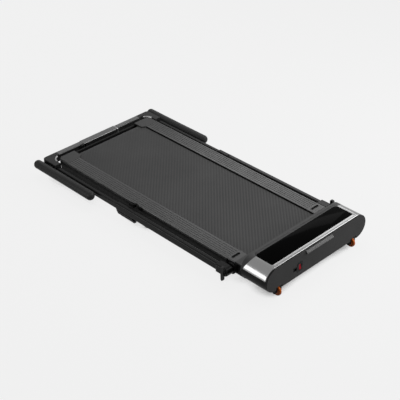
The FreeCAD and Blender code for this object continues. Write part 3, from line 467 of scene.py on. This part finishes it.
boardFilm = {
    "dark": (0.009, 0.008, 0.007), "light": (0.017, 0.015, 0.013), "rough": 0.5, "specular": 0.1,
    "grain": 30, "grainDetail": 6, "stretch": (6, 0.6, 6), "bump": 0.1, "depth": 0.0004,
}


def deckFilm():
    # board faced with a dark film, the grain just telegraphs through
    look = boardFilm
    finish, tree, shader, place = newFinish("deckFilm", look["rough"], specular=look["specular"])
    grain = noiseOn(tree, place, look["grain"], look["grainDetail"], look["stretch"])
    tree.links.new(shadeBetween(tree, grain, look["dark"], look["light"]), shader.inputs["Base Color"])
    bumpFrom(tree, shader, grain, look["bump"], look["depth"])
    return finish


def makeFinishes():
    made = {name: moulded(name, row) for name, row in mouldedLooks.items()}
    made["silverPaint"] = silverPaint()
    made["displayGlass"] = displayGlass()
    made["beltRubber"] = beltRubber()
    made.update({name: powderCoat(name, look) for name, look in coats.items()})
    made["gripFoam"] = gripFoam()
    made.update({name: turnedMetal(name, *look) for name, look in metals.items()})
    made["deckFilm"] = deckFilm()
    paintedShadeRim(made["capPlastic"])
    return made


# the nodes that show; the pieces below carry their own finish
finishOf = {
    "capPlastic": ["front_cap"],
    "lipPaintedLight": ["carry_handle"],
    "shellPlastic": ["lower_shell", "wheel_forks"],
    "panelBlack": ["power_inlet", "switch_bezel"],
    "fairingPlastic": ["rear_fairing", "neck_cover"],
    "switchRed": ["power_switch"],
    "railPlastic": ["front_rail_caps"],
    "driveRubber": ["drive_belt"],
    "footRubber": ["base_feet", "rear_feet"],
    "framePaint": ["front_beams", "front_cross_members", "rear_cross_members", "pivot_brackets",
                   "motor_mount", "motor"],
    "deckFilm": ["front_deck_board", "rear_deck_board"],
    "turnedSteel": ["drive_roller", "idler_roller", "roller_pulley", "motor_rotor", "drive_bearings",
                    "idler_bearings", "pivot_pins", "grip_core_left", "grip_core_right"],
    "boardGreen": ["control_board"],
    "sinkMetal": ["heat_sink"],
    "postPaint": ["lower_post_left", "lower_post_right", "upper_post_left", "upper_post_right"],
    "cornerPlastic": ["corner_left", "corner_right"],
    "fittingPlastic": ["console_pod", "clamp_blocks", "clamp_lever_left", "clamp_lever_right",
                       "lock_knob_left", "lock_knob_right"],
}


def paintNodes(finishes):
    for name, members in finishOf.items():
        for member in members:
            for slot in nodes[member].material_slots:
                slot.material = finishes[name]


# mesh helpers

mergeGap = 1e-6  # metres, points nearer than this are one


def finishPiece(name, shape, finish, crease=40, flat=False):
    mesh = bpy.data.meshes.new(name)
    shape.to_mesh(mesh)
    shape.free()
    for face in mesh.polygons:
        face.use_smooth = True
    mesh.set_sharp_from_angle(angle=math.radians(crease))
    mesh.materials.append(finish)
    piece = bpy.data.objects.new(name, mesh)
    bpy.context.scene.collection.objects.link(piece)
    if flat:  # broad faces keep their own normals beside small rounded edges
        piece.modifiers.new("broadFaces", "WEIGHTED_NORMAL").keep_sharp = True
    return piece


def only(kind, geom):
    return [g for g in geom if isinstance(g, kind)]


def settle(shape):
    bmesh.ops.remove_doubles(shape, verts=shape.verts, dist=mergeGap)
    bmesh.ops.recalc_face_normals(shape, faces=shape.faces)


def fromNode(name):
    shape = bmesh.new()
    shape.from_mesh(nodes[name].data)
    settle(shape)
    return shape


def strand(shape, points, closed=False):
    # chain of edges through the given points
    verts = [shape.verts.new(p) for p in points]
    ends = verts[1:] + verts[:1] if closed else verts[1:]
    return verts + [shape.edges.new(pair) for pair in zip(verts, ends)]


def lathe(shape, points, centre, axis, steps, closed=False):
    bmesh.ops.spin(shape, geom=strand(shape, points, closed), cent=centre, axis=axis, dvec=(0, 0, 0),
                   angle=2 * math.pi, steps=steps, use_merge=True, use_duplicate=False)
    settle(shape)


def swingFace(shape, face, centre, angle, steps):
    # carries a face round an upright axis and gives the last face back
    geom = [face] + list(face.edges) + list(face.verts)
    last = bmesh.ops.spin(shape, geom=geom, cent=centre, axis=(0, 0, 1), dvec=(0, 0, 0), angle=angle,
                          steps=steps, use_merge=False, use_duplicate=False)["geom_last"]
    return only(bmesh.types.BMFace, last)[0]


def pushFace(shape, face, push):
    # extrudes one face and gives the new end face back
    grown = bmesh.ops.extrude_face_region(shape, geom=[face])["geom"]
    bmesh.ops.translate(shape, vec=push, verts=only(bmesh.types.BMVert, grown))
    return only(bmesh.types.BMFace, grown)[0]


def bar(shape, outline, push):
    return pushFace(shape, shape.faces.new([shape.verts.new(p) for p in outline]), push)


def arc(centre, radius, start, end, steps):
    turns = [math.radians(start + (end - start) * i / steps) for i in range(steps + 1)]
    return [(centre[0] + radius * math.cos(t), centre[1] + radius * math.sin(t)) for t in turns]


def evenly(start, end, steps):
    # stops from the start on, without the end
    return [start + (end - start) * i / steps for i in range(steps)]


def roundEdges(shape, edges, size, steps=2, clamped=False):
    bmesh.ops.bevel(shape, geom=list(edges), offset=size, offset_type="OFFSET", affect="EDGES",
                    segments=steps, profile=0.5, material=-1, clamp_overlap=clamped)


def block(shape, low, high, edge, steps=2):
    # rounded brick between two corners
    made = bmesh.ops.create_cube(shape, size=1.0)["verts"]
    bmesh.ops.scale(shape, vec=Vector(high) - Vector(low), verts=made)
    bmesh.ops.translate(shape, vec=(Vector(high) + Vector(low)) / 2, verts=made)
    roundEdges(shape, {e for v in made for e in v.link_edges}, edge, steps, clamped=True)


def toSide(shape, side, merged=True):
    # pieces are drawn on the right and mirrored for the left
    if side == "left":
        bmesh.ops.scale(shape, vec=(-1, 1, 1), verts=shape.verts)
    if merged:
        settle(shape)
    else:  # closed shells that lie against each other stay apart
        bmesh.ops.recalc_face_normals(shape, faces=shape.faces)


def roundedFrame(shape, middle, size, bend, steps):
    # closed loop of edges round an upright rectangle with rounded corners
    x, y, z = middle
    wide, tall = size[0] / 2 - bend, size[1] / 2 - bend
    points = []
    for across, up, start in ((wide, -tall, -90), (wide, tall, 0), (-wide, tall, 90), (-wide, -tall, 180)):
        points += [(x + a, y, z + b) for a, b in arc((across, up), bend, start, start + 90, steps)]
    return only(bmesh.types.BMEdge, strand(shape, points, closed=True))


# running belt, one loop over both rollers

runningBelt = {
    "thick": 0.0018, "seamReach": 0.036, "seamSteps": 16, "runSteps": 24, "wrapSteps": 24, "across": 8,
    "merge": 1e-5,
}


def makeRunningBelt(finish):
    look = runningBelt
    frontLow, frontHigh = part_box("belt_front")
    rearLow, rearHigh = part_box("belt_rear")
    seam = (frontHigh.y + rearLow.y) / 2
    radius = (frontHigh.z - frontLow.z) / 2
    axle = (frontHigh.z + frontLow.z) / 2
    driveY = frontLow.y + radius
    idlerY = rearHigh.y - radius
    before, behind = seam - look["seamReach"], seam + look["seamReach"]
    stops = evenly(driveY, before, look["runSteps"]) + evenly(before, behind, look["seamSteps"])
    stops += evenly(behind, idlerY, look["runSteps"]) + [idlerY]
    shape = bmesh.new()
    side = frontLow.x
    for height, run in ((axle + radius, stops), (axle - radius, stops[::-1])):
        strand(shape, [(side, y, height) for y in run])
    for y, height in ((idlerY, axle + radius), (driveY, axle - radius)):
        start = min(shape.verts, key=lambda v: (v.co - Vector((side, y, height))).length)
        bmesh.ops.spin(shape, geom=[start], cent=(side, y, axle), axis=(1, 0, 0), dvec=(0, 0, 0),
                       angle=-math.pi, steps=look["wrapSteps"], use_merge=False, use_duplicate=False)
    bmesh.ops.remove_doubles(shape, verts=shape.verts, dist=look["merge"])
    ring = list(shape.edges)
    width = (frontHigh.x - frontLow.x) / look["across"]
    for _ in range(look["across"]):
        grown = bmesh.ops.extrude_edge_only(shape, edges=ring)["geom"]
        bmesh.ops.translate(shape, vec=(width, 0, 0), verts=only(bmesh.types.BMVert, grown))
        ring = only(bmesh.types.BMEdge, grown)
    bmesh.ops.recalc_face_normals(shape, faces=shape.faces)
    bmesh.ops.solidify(shape, geom=list(shape.faces), thickness=look["thick"])
    piece = finishPiece("runningBelt", shape, finish)
    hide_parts("belt_front", "belt_rear")
    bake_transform(piece)


# foam grips

gripSleeve = {
    "endRound": 0.0205, "trimFront": 0.010, "trimRear": 0.004, "waist": 0.0006, "arcSteps": 10, "sides": 48,
}


def makeGrip(side, finish):
    look = gripSleeve
    low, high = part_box("grip_" + side)
    middle = (low + high) / 2
    radius = (high.z - low.z) / 2
    bend = look["endRound"]
    start = low.y + look["trimFront"]
    length = high.y - low.y - look["trimFront"] - look["trimRear"]
    nose = [(0.0, 0.0)]
    nose += [(bend - a, radius - bend + b) for a, b in arc((0, 0), bend, 0, 90, look["arcSteps"])]
    tail = [(length - along, out) for along, out in reversed(nose)]
    profile = nose + [(length / 2, radius - look["waist"])] + tail
    shape = bmesh.new()
    lathe(shape, [(middle.x, start + along, middle.z + out) for along, out in profile], middle, (0, 1, 0),
          look["sides"])
    piece = finishPiece("gripSleeve." + side, shape, finish)
    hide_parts("grip_" + side)
    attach(piece, "grip_" + side + "_body")


# ribbed foot rails with a rounded outer edge and a near-black skirt, painted shade for the rail's shaded
# lower side

footRail = {
    "ribs": 5, "margin": 0.008, "groove": 0.004, "grooveFoot": 0.6, "depth": 0.0016, "innerEdge": 0.001,
    "round": 0.005, "drop": 0.014, "arcSteps": 8, "skirt": 0.0028, "skirtLow": 0.066,
    "endLength": 0.072, "endWide": 0.022, "endRound": 0.024, "endSteps": 8, "slant": 0.014,
    "joint": 0.0004, "overEnd": 0.0012,
}


def railBox(half):
    # the right rail's inner side, as the front length has it, and this length's corners
    low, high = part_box(half + "_rail_right")
    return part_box("front_rail_right")[0].x, low, high


def outerRim(outer, base, top):
    # rounded top edge, then back up inside it
    look = footRail
    r, drop, t = look["round"], look["drop"], look["skirt"]
    curve = [(outer - r + r * a, top - drop + drop * b) for a, b in arc((0, 0), 1, 90, 0, look["arcSteps"])]
    return curve + [(outer - t, top - drop), (outer - t, base)]


def wrapEnd(shape, section, start, outer, end, reach):
    # carries a section along the rail, round its rear corner and across to its inner end
    r = footRail["endRound"]
    face = bar(shape, [(x, start, z) for x, z in section], (0, end - r - start, 0))
    face = swingFace(shape, face, (outer - r, end - r, 0), math.pi / 2, footRail["endSteps"])
    pushFace(shape, face, (reach - outer + r, 0, 0))


def ribbedTop(inner, outer, base, top):
    look = footRail
    pitch = (outer - inner - 2 * look["margin"]) / look["ribs"]
    half, edge = look["groove"] / 2, look["innerEdge"]
    foot, floor = half * look["grooveFoot"], top - look["depth"]
    points = [(inner, base), (inner, top - edge), (inner + edge, top)]
    for n in range(look["ribs"]):
        middle = inner + look["margin"] + (n + 0.5) * pitch
        points += [(middle - half, top), (middle - foot, floor), (middle + foot, floor), (middle + half, top)]
    return points


def makeRailEnd(side, finish):
    look = footRail
    inner, low, high = railBox("rear")
    outer, base, top, end = high.x, low.z, high.z, high.y + look["overEnd"]
    start = high.y - look["endLength"] + look["joint"]
    r, edge = look["endRound"], outer - look["round"]
    reach = inner - look["endWide"]
    shape = bmesh.new()
    wrapEnd(shape, [(edge, base)] + outerRim(outer, base, top), start, outer, end, reach)
    plate = [(reach, start + look["slant"]), (inner, start), (edge, start)]
    plate += arc((outer - r, end - r), r - look["round"], 0, 90, look["endSteps"])
    plate.append((reach, end - look["round"]))
    bar(shape, [(x, y, base) for x, y in plate], (0, 0, top - base))
    toSide(shape, side, merged=False)
    piece = finishPiece("railEnd." + side, shape, finish, flat=True)
    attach(piece, "rear_deck")


def ribsEnd(half, high):
    return high.y - footRail["endLength"] if half == "rear" else high.y


def makeRail(half, side, body, finish):
    inner, low, high = railBox(half)
    outline = ribbedTop(inner, high.x, low.z, high.z) + outerRim(high.x, low.z, high.z)
    shape = bmesh.new()
    bar(shape, [(x, low.y, z) for x, z in outline], (0, ribsEnd(half, high) - low.y, 0))
    toSide(shape, side)
    piece = finishPiece("footRail." + half + "." + side, shape, finish, flat=True)
    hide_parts(half + "_rail_" + side)
    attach(piece, body)


def makeShadeSkirt(half, side, body, finish):
    # near-black strip below the rail's rounded edge: painted shade standing in for the shaded lower side wall
    # of the grey rail
    look = footRail
    inner, low, high = railBox(half)
    outer, upper, lower, t = high.x, high.z - look["drop"], look["skirtLow"], look["skirt"]
    section = [(outer, upper), (outer, lower + t / 2), (outer - t / 4, lower)]
    section += [(outer - t, lower), (outer - t, upper)]
    shape = bmesh.new()
    if half == "rear":
        wrapEnd(shape, section, low.y, outer, high.y + look["overEnd"], inner - look["endWide"])
    else:
        bar(shape, [(x, low.y, z) for x, z in section], (0, high.y - low.y, 0))
    toSide(shape, side)
    piece = finishPiece("railShadeSkirt." + half + "." + side, shape, finish)
    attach(piece, body)


rearBeams = {"reach": 0.0265}  # where the cut crosses, across plus along from the rail end's turning centre


def makeRearBeams(finish):
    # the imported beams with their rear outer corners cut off, to stay inside the rounded rail ends
    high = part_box("rear_rail_right")[1]
    r = footRail["endRound"]
    half = rearBeams["reach"] / 2
    x, y = high.x - r + half, high.y + footRail["overEnd"] - r + half
    shape = fromNode("rear_beams")
    for sign in (1, -1):
        faces = [f for f in shape.faces if f.calc_center_median().x * sign > 0]
        geom = faces + list({e for f in faces for e in f.edges}) + list({v for f in faces for v in f.verts})
        cut = bmesh.ops.bisect_plane(shape, geom=geom, dist=mergeGap, plane_co=(sign * x, y, 0),
                                     plane_no=(sign, 1, 0), clear_outer=True)["geom_cut"]
        bmesh.ops.triangle_fill(shape, use_beauty=True, edges=only(bmesh.types.BMEdge, cut))
    settle(shape)
    piece = finishPiece("rearBeams", shape, finish)
    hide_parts("rear_beams")
    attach(piece, "rear_deck")


sideShadeStrip = {"thick": 0.0012, "below": 0.004, "under": 0.0012, "edge": 0.0004}


def makeShadeStrip(half, side, body, finish):
    # near-black strip between the rail's inner side and the belt: painted shade for the shadowed gap there
    look = sideShadeStrip
    inner, low, high = railBox(half)
    shape = bmesh.new()
    block(shape, (inner - look["thick"], low.y, low.z - look["below"]),
          (inner, ribsEnd(half, high), high.z - look["under"]), look["edge"])
    toSide(shape, side)
    piece = finishPiece("sideShadeStrip." + half + "." + side, shape, finish)
    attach(piece, body)


# deck hinges, a slim leaf on each half

hingeLeaf = {
    "knuckle": 0.0038, "knuckleTurn": (-70, 110), "knuckleSteps": 10, "neck": 0.012, "shoulder": 0.0035,
    "long": 0.040, "tip": (0.002, 0.003), "deep": 0.019, "heel": 0.0015, "edge": 0.0006,
    "front": (0.0004, 0.0072), "rear": (0.0074, 0.0142),  # each leaf's faces, out from the rail
    "spacer": (0.022, 0.038), "spacerDeep": (0.005, 0.017),
    "head": 0.0030, "headTall": 0.0012, "headEdge": (0.5, 0.6), "headSides": 20,
}


def makeHinge(half, side, body, finish):
    look = hingeLeaf
    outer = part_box("front_rail_right")[1].x
    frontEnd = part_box("front_hinge_ears")[1].y
    seam = (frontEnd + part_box("rear_hinge_ears")[0].y) / 2
    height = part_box(half + "_hinge_ears")[1].z - (frontEnd - seam)
    run, shoulder, deep = look["long"], -look["shoulder"], -look["deep"]
    tipIn, tipDown = look["tip"]
    away = -1 if half == "front" else 1
    outline = [(-a, b) for a, b in arc((0, 0), look["knuckle"], *look["knuckleTurn"], look["knuckleSteps"])]
    outline += [(look["neck"], shoulder), (run - tipIn, shoulder), (run, shoulder - tipDown), (run, deep),
                (look["heel"], deep)]
    near, far = (outer + t for t in look[half])
    shape = bmesh.new()
    top = bar(shape, [(near, seam + away * a, height + b) for a, b in outline], (far - near, 0, 0))
    roundEdges(shape, top.edges, look["edge"])
    if half == "rear":
        begin, end = look["spacer"]
        upper, lower = look["spacerDeep"]
        block(shape, (outer, seam + begin, height - lower), (near + look["edge"], seam + end, height - upper),
              look["edge"])
        head, tall = look["head"], look["headTall"]
        lip, crown = look["headEdge"]
        cap = [(0, head), (tall * lip, head), (tall, head * crown), (tall, 0)]
        lathe(shape, [(far + a, seam, height + b) for a, b in cap], (far, seam, height), (1, 0, 0),
              look["headSides"])
    toSide(shape, side)
    piece = finishPiece("hingeLeaf." + half + "." + side, shape, finish)
    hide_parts(half + "_hinge_ears")
    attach(piece, body)


# motor housing

def capRound():
    # radius and right centre, across and up, of the cap's pill shape
    low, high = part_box("front_cap")
    radius = (high.z - low.z) / 2
    return radius, (high.x - radius, (high.z + low.z) / 2)


silverShell = {"edge": 0.0078, "steps": 5, "skin": 0.0015, "flat": 0.4, "rimDepth": 0.0001}


def makeSilverShell(finish):
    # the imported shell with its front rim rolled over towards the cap
    look = silverShell
    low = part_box("upper_shell")[0]
    radius, (straight, middle) = capRound()
    shape = fromNode("upper_shell")
    bmesh.ops.dissolve_limit(shape, angle_limit=math.radians(look["flat"]), verts=shape.verts,
                             edges=shape.edges, use_dissolve_boundaries=False)

    def onRim(v):
        sideways = max(abs(v.co.x) - straight, 0)
        outside = math.hypot(sideways, v.co.z - middle) > radius - look["skin"]
        return v.co.y < low.y + look["rimDepth"] and outside
    rim = [e for e in shape.edges if all(onRim(v) for v in e.verts)]
    roundEdges(shape, rim, look["edge"], look["steps"], clamped=True)
    piece = finishPiece("silverShell", shape, finish, flat=True)
    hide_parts("upper_shell")
    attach(piece, "base")


shellSeam = {"tall": 0.0075, "proud": 0.0006, "inside": 0.001, "short": 0.0002, "steps": 5}


def makeShellSeam(side, finish):
    # black lip of the lower shell over the silver's lower edge
    look = shellSeam
    low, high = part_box("upper_shell")
    radius, centre = capRound()
    start, end = (math.degrees(math.asin((low.z + up - centre[1]) / radius)) for up in (0, look["tall"]))
    outline = arc(centre, radius + look["proud"], start, end, look["steps"])
    outline += arc(centre, radius - look["inside"], end, start, look["steps"])
    shape = bmesh.new()
    start, length = low.y + look["short"], high.y - low.y - 2 * look["short"]
    bar(shape, [(x, start, z) for x, z in outline], (0, length, 0))
    toSide(shape, side)
    piece = finishPiece("shellSeam." + side, shape, finish)
    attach(piece, "base")


transportWheel = {
    # across the wheel and out from the axle, millimetres, one half
    "half": [(5.2, 4.2), (5.2, 8.0), (3.4, 9.0), (3.4, 15.4), (5.4, 16.6), (5.9, 18.0), (5.9, 20.4),
             (5.2, 22.2), (3.9, 23.4), (2.4, 24.0), (1.3, 24.0), (0.9, 23.3)],
    "sides": 48,
}


def makeWheel(side, finish):
    low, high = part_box("wheel_" + side)
    middle = (low + high) / 2
    half = [(a / 1000, b / 1000) for a, b in transportWheel["half"]]
    profile = [(-a, b) for a, b in half] + half[::-1]
    shape = bmesh.new()
    lathe(shape, [(middle.x + a, middle.y, middle.z + b) for a, b in profile], middle, (1, 0, 0),
          transportWheel["sides"], closed=True)
    piece = finishPiece("transportWheel." + side, shape, finish)
    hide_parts("wheel_" + side)
    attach(piece, "wheel_" + side + "_body")


inletPins = {
    "pins": [(-0.0045, -0.002), (0.0045, -0.002), (0.0, 0.003)], "wide": 0.0018, "tall": 0.0034,
    "from": 0.0070, "to": 0.0128, "edge": 0.0004,
}


def makeInletPins(finish):
    look = inletPins
    low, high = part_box("power_inlet")
    wide, tall = look["wide"] / 2, look["tall"] / 2
    shape = bmesh.new()
    for across, up in look["pins"]:
        x, z = (low.x + high.x) / 2 + across, (low.z + high.z) / 2 + up
        block(shape, (x - wide, low.y + look["from"], z - tall),
              (x + wide, low.y + look["to"], z + tall), look["edge"])
    settle(shape)
    piece = finishPiece("inletPins", shape, finish)
    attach(piece, "base")


slotTrim = {
    "inset": 0.014, "back": 0.030, "wide": 0.012, "sides": 28, "rim": 0.0014, "proud": 0.0008,
    "deep": 0.0029, "shadeLayer": 0.0006, "ridge": (0.002, 0.003, 0.0012), "ridgeIn": 0.2, "ridgeEdge": 0.0005,
}


def slotFace(shape, radius):
    # slot outline round the origin, with the slot's middle and half length in the rail's front cap
    look = slotTrim
    low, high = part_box("front_rail_caps")
    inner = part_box("front_rail_right")[0].x
    middle = Vector(((inner + high.x) / 2, low.y + look["back"], high.z))
    stretch = (high.x - inner) / 2 - look["inset"] - look["wide"] / 2
    made = bmesh.ops.create_circle(shape, cap_ends=True, segments=look["sides"], radius=radius)["verts"]
    for v in made:
        v.co.x += math.copysign(stretch, v.co.x)
    return shape.faces[:][0], middle, stretch


def makeSlotTrim(side, finish):
    # raised lip round the finger slot
    look = slotTrim
    shape = bmesh.new()
    face, middle, _ = slotFace(shape, look["wide"] / 2 + look["rim"])
    bmesh.ops.inset_region(shape, faces=[face], thickness=look["rim"], use_boundary=True,
                           use_even_offset=True)
    bmesh.ops.delete(shape, geom=[face], context="FACES")
    grown = bmesh.ops.extrude_face_region(shape, geom=shape.faces[:])["geom"]
    bmesh.ops.translate(shape, vec=(0, 0, look["proud"]), verts=only(bmesh.types.BMVert, grown))
    bmesh.ops.translate(shape, vec=middle, verts=shape.verts)
    toSide(shape, side)
    piece = finishPiece("slotTrim." + side, shape, finish)
    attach(piece, "base")


def makeSlotPocket(side, finish):
    # near-black layer on the slot's floor, painted shade for the recess, with a raised thumb ridge at the
    # inner end
    look = slotTrim
    shape = bmesh.new()
    face, middle, stretch = slotFace(shape, look["wide"] / 2 - look["rim"] / 2)
    middle.z -= look["deep"]
    bmesh.ops.translate(shape, vec=middle, verts=shape.verts)
    pushFace(shape, face, (0, 0, look["shadeLayer"]))
    x, y, z = middle.x - stretch - look["wide"] * look["ridgeIn"], middle.y, middle.z + look["shadeLayer"]
    across, along, tall = look["ridge"]
    block(shape, (x - across, y - along, z), (x + across, y + along, z + tall), look["ridgeEdge"])
    toSide(shape, side)
    piece = finishPiece("slotPocket." + side, shape, finish)
    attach(piece, "base")


switchPlate = {
    "side": 0.0072, "end": 0.006, "gap": 0.0006, "seat": 0.0002, "proud": 0.0016,
    "outerRound": 0.004, "innerRound": 0.0015, "steps": 5,
}


def makeSwitchPlate(finish):
    # black surround of the rocker's bezel
    look = switchPlate
    low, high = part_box("switch_bezel")
    middle = ((low.x + high.x) / 2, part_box("front_cap")[0].y + look["seat"], (low.z + high.z) / 2)
    wide, tall = high.x - low.x, high.z - low.z
    shape = bmesh.new()
    edges = []
    for size, bend in (((wide + 2 * look["side"], tall + 2 * look["end"]), look["outerRound"]),
                       ((wide + look["gap"], tall + look["gap"]), look["innerRound"])):
        edges += roundedFrame(shape, middle, size, bend, look["steps"])
    bmesh.ops.bridge_loops(shape, edges=edges)
    grown = bmesh.ops.extrude_face_region(shape, geom=shape.faces[:])["geom"]
    bmesh.ops.translate(shape, vec=(0, -look["proud"], 0), verts=only(bmesh.types.BMVert, grown))
    settle(shape)
    piece = finishPiece("switchPlate", shape, finish)
    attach(piece, "base")


displayPlate = {
    "shortBack": 0.0115, "frontRound": 0.008, "frontSteps": 5, "rearRound": 0.020, "rearSteps": 8,
    "thick": 0.0012, "edge": 0.0004, "sunk": 0.0004,
}


def makeDisplay(glass, surround):
    # the glass lies on a dark carrier that fills the recess and shows behind it
    look = displayPlate
    low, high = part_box("display_glass")
    carrier = fromNode("display_glass")
    for v in carrier.verts:
        v.co.z = min(v.co.z, high.z - look["sunk"])
    piece = finishPiece("displayCarrier", carrier, surround)
    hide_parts("display_glass")
    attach(piece, "base")
    f, r, back = look["frontRound"], look["rearRound"], high.y - look["shortBack"]
    outline = arc((high.x - f, low.y + f), f, -90, 0, look["frontSteps"])
    outline += arc((high.x - r, back - r), r, 0, 90, look["rearSteps"])
    outline += arc((low.x + r, back - r), r, 90, 180, look["rearSteps"])
    outline += arc((low.x + f, low.y + f), f, 180, 270, look["frontSteps"])
    shape = bmesh.new()
    top = bar(shape, [(x, y, high.z - look["thick"]) for x, y in outline], (0, 0, look["thick"]))
    roundEdges(shape, top.edges, look["edge"])
    settle(shape)
    piece = finishPiece("displayPlate", shape, glass)
    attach(piece, "base")


# handrail trim

rearBar = {
    "grow": 0.0009, "edge": 0.006, "steps": 5, "stripGrow": 0.0014, "stripThick": 0.006, "stripEdge": 0.004,
}


def crossPiece(name, outline, finish):
    # carries an outline, along and up, over the crossbar's whole width
    low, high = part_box("crossbar")
    shape = bmesh.new()
    bar(shape, [(low.x, y, z) for y, z in outline], (high.x - low.x, 0, 0))
    settle(shape)
    return finishPiece(name, shape, finish)


def makeRearBar(body, strip):
    # black bar with a grey strip along its top, level with the moulded corners; grey top over black sides is
    # painted light and shade for a top-lit bar
    look = rearBar
    low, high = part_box("crossbar")
    g, r, steps = look["grow"], look["edge"], look["steps"]
    y0, y1, z0, z1 = low.y - g + r, high.y + g - r, low.z - g + r, high.z + g - r
    outline = []
    for centre, start in (((y1, z0), -90), ((y1, z1), 0), ((y0, z1), 90), ((y0, z0), 180)):
        outline += arc(centre, r, start, start + 90, steps)
    piece = crossPiece("rearBar", outline, body)
    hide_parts("crossbar")
    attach(piece, "upper_frame")
    g, r = look["stripGrow"], look["stripEdge"]
    y0, y1, z1 = low.y - g, high.y + g, high.z + g
    outline = [(y0, z1 - look["stripThick"]), (y1, z1 - look["stripThick"])]
    outline += arc((y1 - r, z1 - r), r, 0, 90, steps) + arc((y0 + r, z1 - r), r, 90, 180, steps)
    piece = crossPiece("rearBarTop", outline, strip)
    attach(piece, "upper_frame")


podTrim = {
    "left": 0.113, "right": 0.108, "topThick": 0.0035, "topProud": 0.0004, "topEdge": 0.0018,
    "bead": 0.0014, "beadIn": 0.0012, "beadEdge": 0.7,
    "collar": 0.009, "collarProud": 0.0006, "collarEdge": 0.003, "collarLow": 0.060,
    "end": 0.024, "endDeep": 0.016, "endDown": 0.0025, "endLow": 0.056, "endEdge": 0.006,
    "steps": 3, "endSteps": 4,
}


def makePodTrim(top, bright, dark):
    # grey lid, painted light for the pod's lit top over its black body, thin bright bead along its inner
    # edge, a collar at one end and a black nose at the other
    look, steps = podTrim, podTrim["steps"]
    low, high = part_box("console_pod")
    left, right = -look["left"], look["right"]
    lid = bmesh.new()
    block(lid, (left, low.y + look["topProud"], high.z - look["topThick"]),
          (right, high.y, high.z + look["topProud"]), look["topEdge"], steps)
    settle(lid)
    lidPiece = finishPiece("podLid", lid, top, flat=True)
    shape = bmesh.new()
    r, half, p = look["bead"], look["collar"] / 2, look["collarProud"]
    y, z = low.y + look["beadIn"], high.z - look["beadIn"]
    block(shape, (left + 2 * r, y - r, z - r), (right - 2 * r, y + r, z + r), r * look["beadEdge"], steps)
    block(shape, (right - half, low.y - p, look["collarLow"]),
          (right + half, high.y, high.z + p), look["collarEdge"], steps)
    settle(shape)
    trimPiece = finishPiece("podTrim", shape, bright)
    nose = bmesh.new()
    block(nose, (left - look["end"], low.y, look["endLow"]),
          (left + look["endEdge"], low.y + look["endDeep"], high.z - look["endDown"]),
          look["endEdge"], look["endSteps"])
    settle(nose)
    nosePiece = finishPiece("podNose", nose, dark)
    for piece in (lidPiece, trimPiece, nosePiece):
        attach(piece, "upper_frame")


cornerBead = {
    "bend": 0.038, "inner": 0.309, "back": 0.683, "inside": 0.0012, "down": 0.0012,
    "radius": 0.0042, "sides": 14, "turn": 74, "steps": 14,
}


def makeCornerBead(side, finish):
    # polished bead round the inner top edge of the moulded corner
    look = cornerBead
    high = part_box("corner_right")[1]
    x, y, z = look["inner"] - look["bend"], look["back"] - look["bend"], high.z - look["down"]
    shape = bmesh.new()
    made = bmesh.ops.create_circle(shape, cap_ends=True, segments=look["sides"],
                                   radius=look["radius"])["verts"]
    bmesh.ops.rotate(shape, verts=made, cent=(0, 0, 0), matrix=Matrix.Rotation(math.pi / 2, 3, "X"))
    bmesh.ops.translate(shape, verts=made, vec=(x + look["bend"] + look["inside"], y, z))
    swingFace(shape, shape.faces[:][0], (x, y, z), math.radians(look["turn"]), look["steps"])
    toSide(shape, side)
    piece = finishPiece("cornerBead." + side, shape, finish)
    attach(piece, "upper_frame")


bpy.context.scene.view_settings.view_transform = "Standard"
makeCamera()
makeWorld()
makeFloor()
makeLamps()
print("stage ready")
finishes = makeFinishes()
paintNodes(finishes)
print("finishes on the nodes")
makeRunningBelt(finishes["beltRubber"])
print("belt ready")
for side in ("left", "right"):
    makeGrip(side, finishes["gripFoam"])
    makeWheel(side, finishes["wheelOrange"])
    for half, body in (("front", "base"), ("rear", "rear_deck")):
        makeRail(half, side, body, finishes["railPlastic"])
        makeShadeSkirt(half, side, body, finishes["skirtShadeAndHingeBlack"])
        makeHinge(half, side, body, finishes["skirtShadeAndHingeBlack"])
        makeShadeStrip(half, side, body, finishes["paintedShadeBlack"])
    makeRailEnd(side, finishes["railEndPlastic"])
    makeSlotTrim(side, finishes["railPlastic"])
    makeSlotPocket(side, finishes["paintedShadeBlack"])
    makeCornerBead(side, finishes["satinTrim"])
    makeShellSeam(side, finishes["shellPlastic"])
makeRearBeams(finishes["framePaint"])
print("grips, wheels and rails ready")
makeSilverShell(finishes["silverPaint"])
makeInletPins(finishes["turnedSteel"])
makeSwitchPlate(finishes["panelBlack"])
makeDisplay(finishes["displayGlass"], finishes["fairingPlastic"])
makeRearBar(finishes["fittingPlastic"], finishes["barTopPaintedLight"])
makePodTrim(finishes["barTopPaintedLight"], finishes["satinTrim"], finishes["panelBlack"])
print("housing and trim ready")
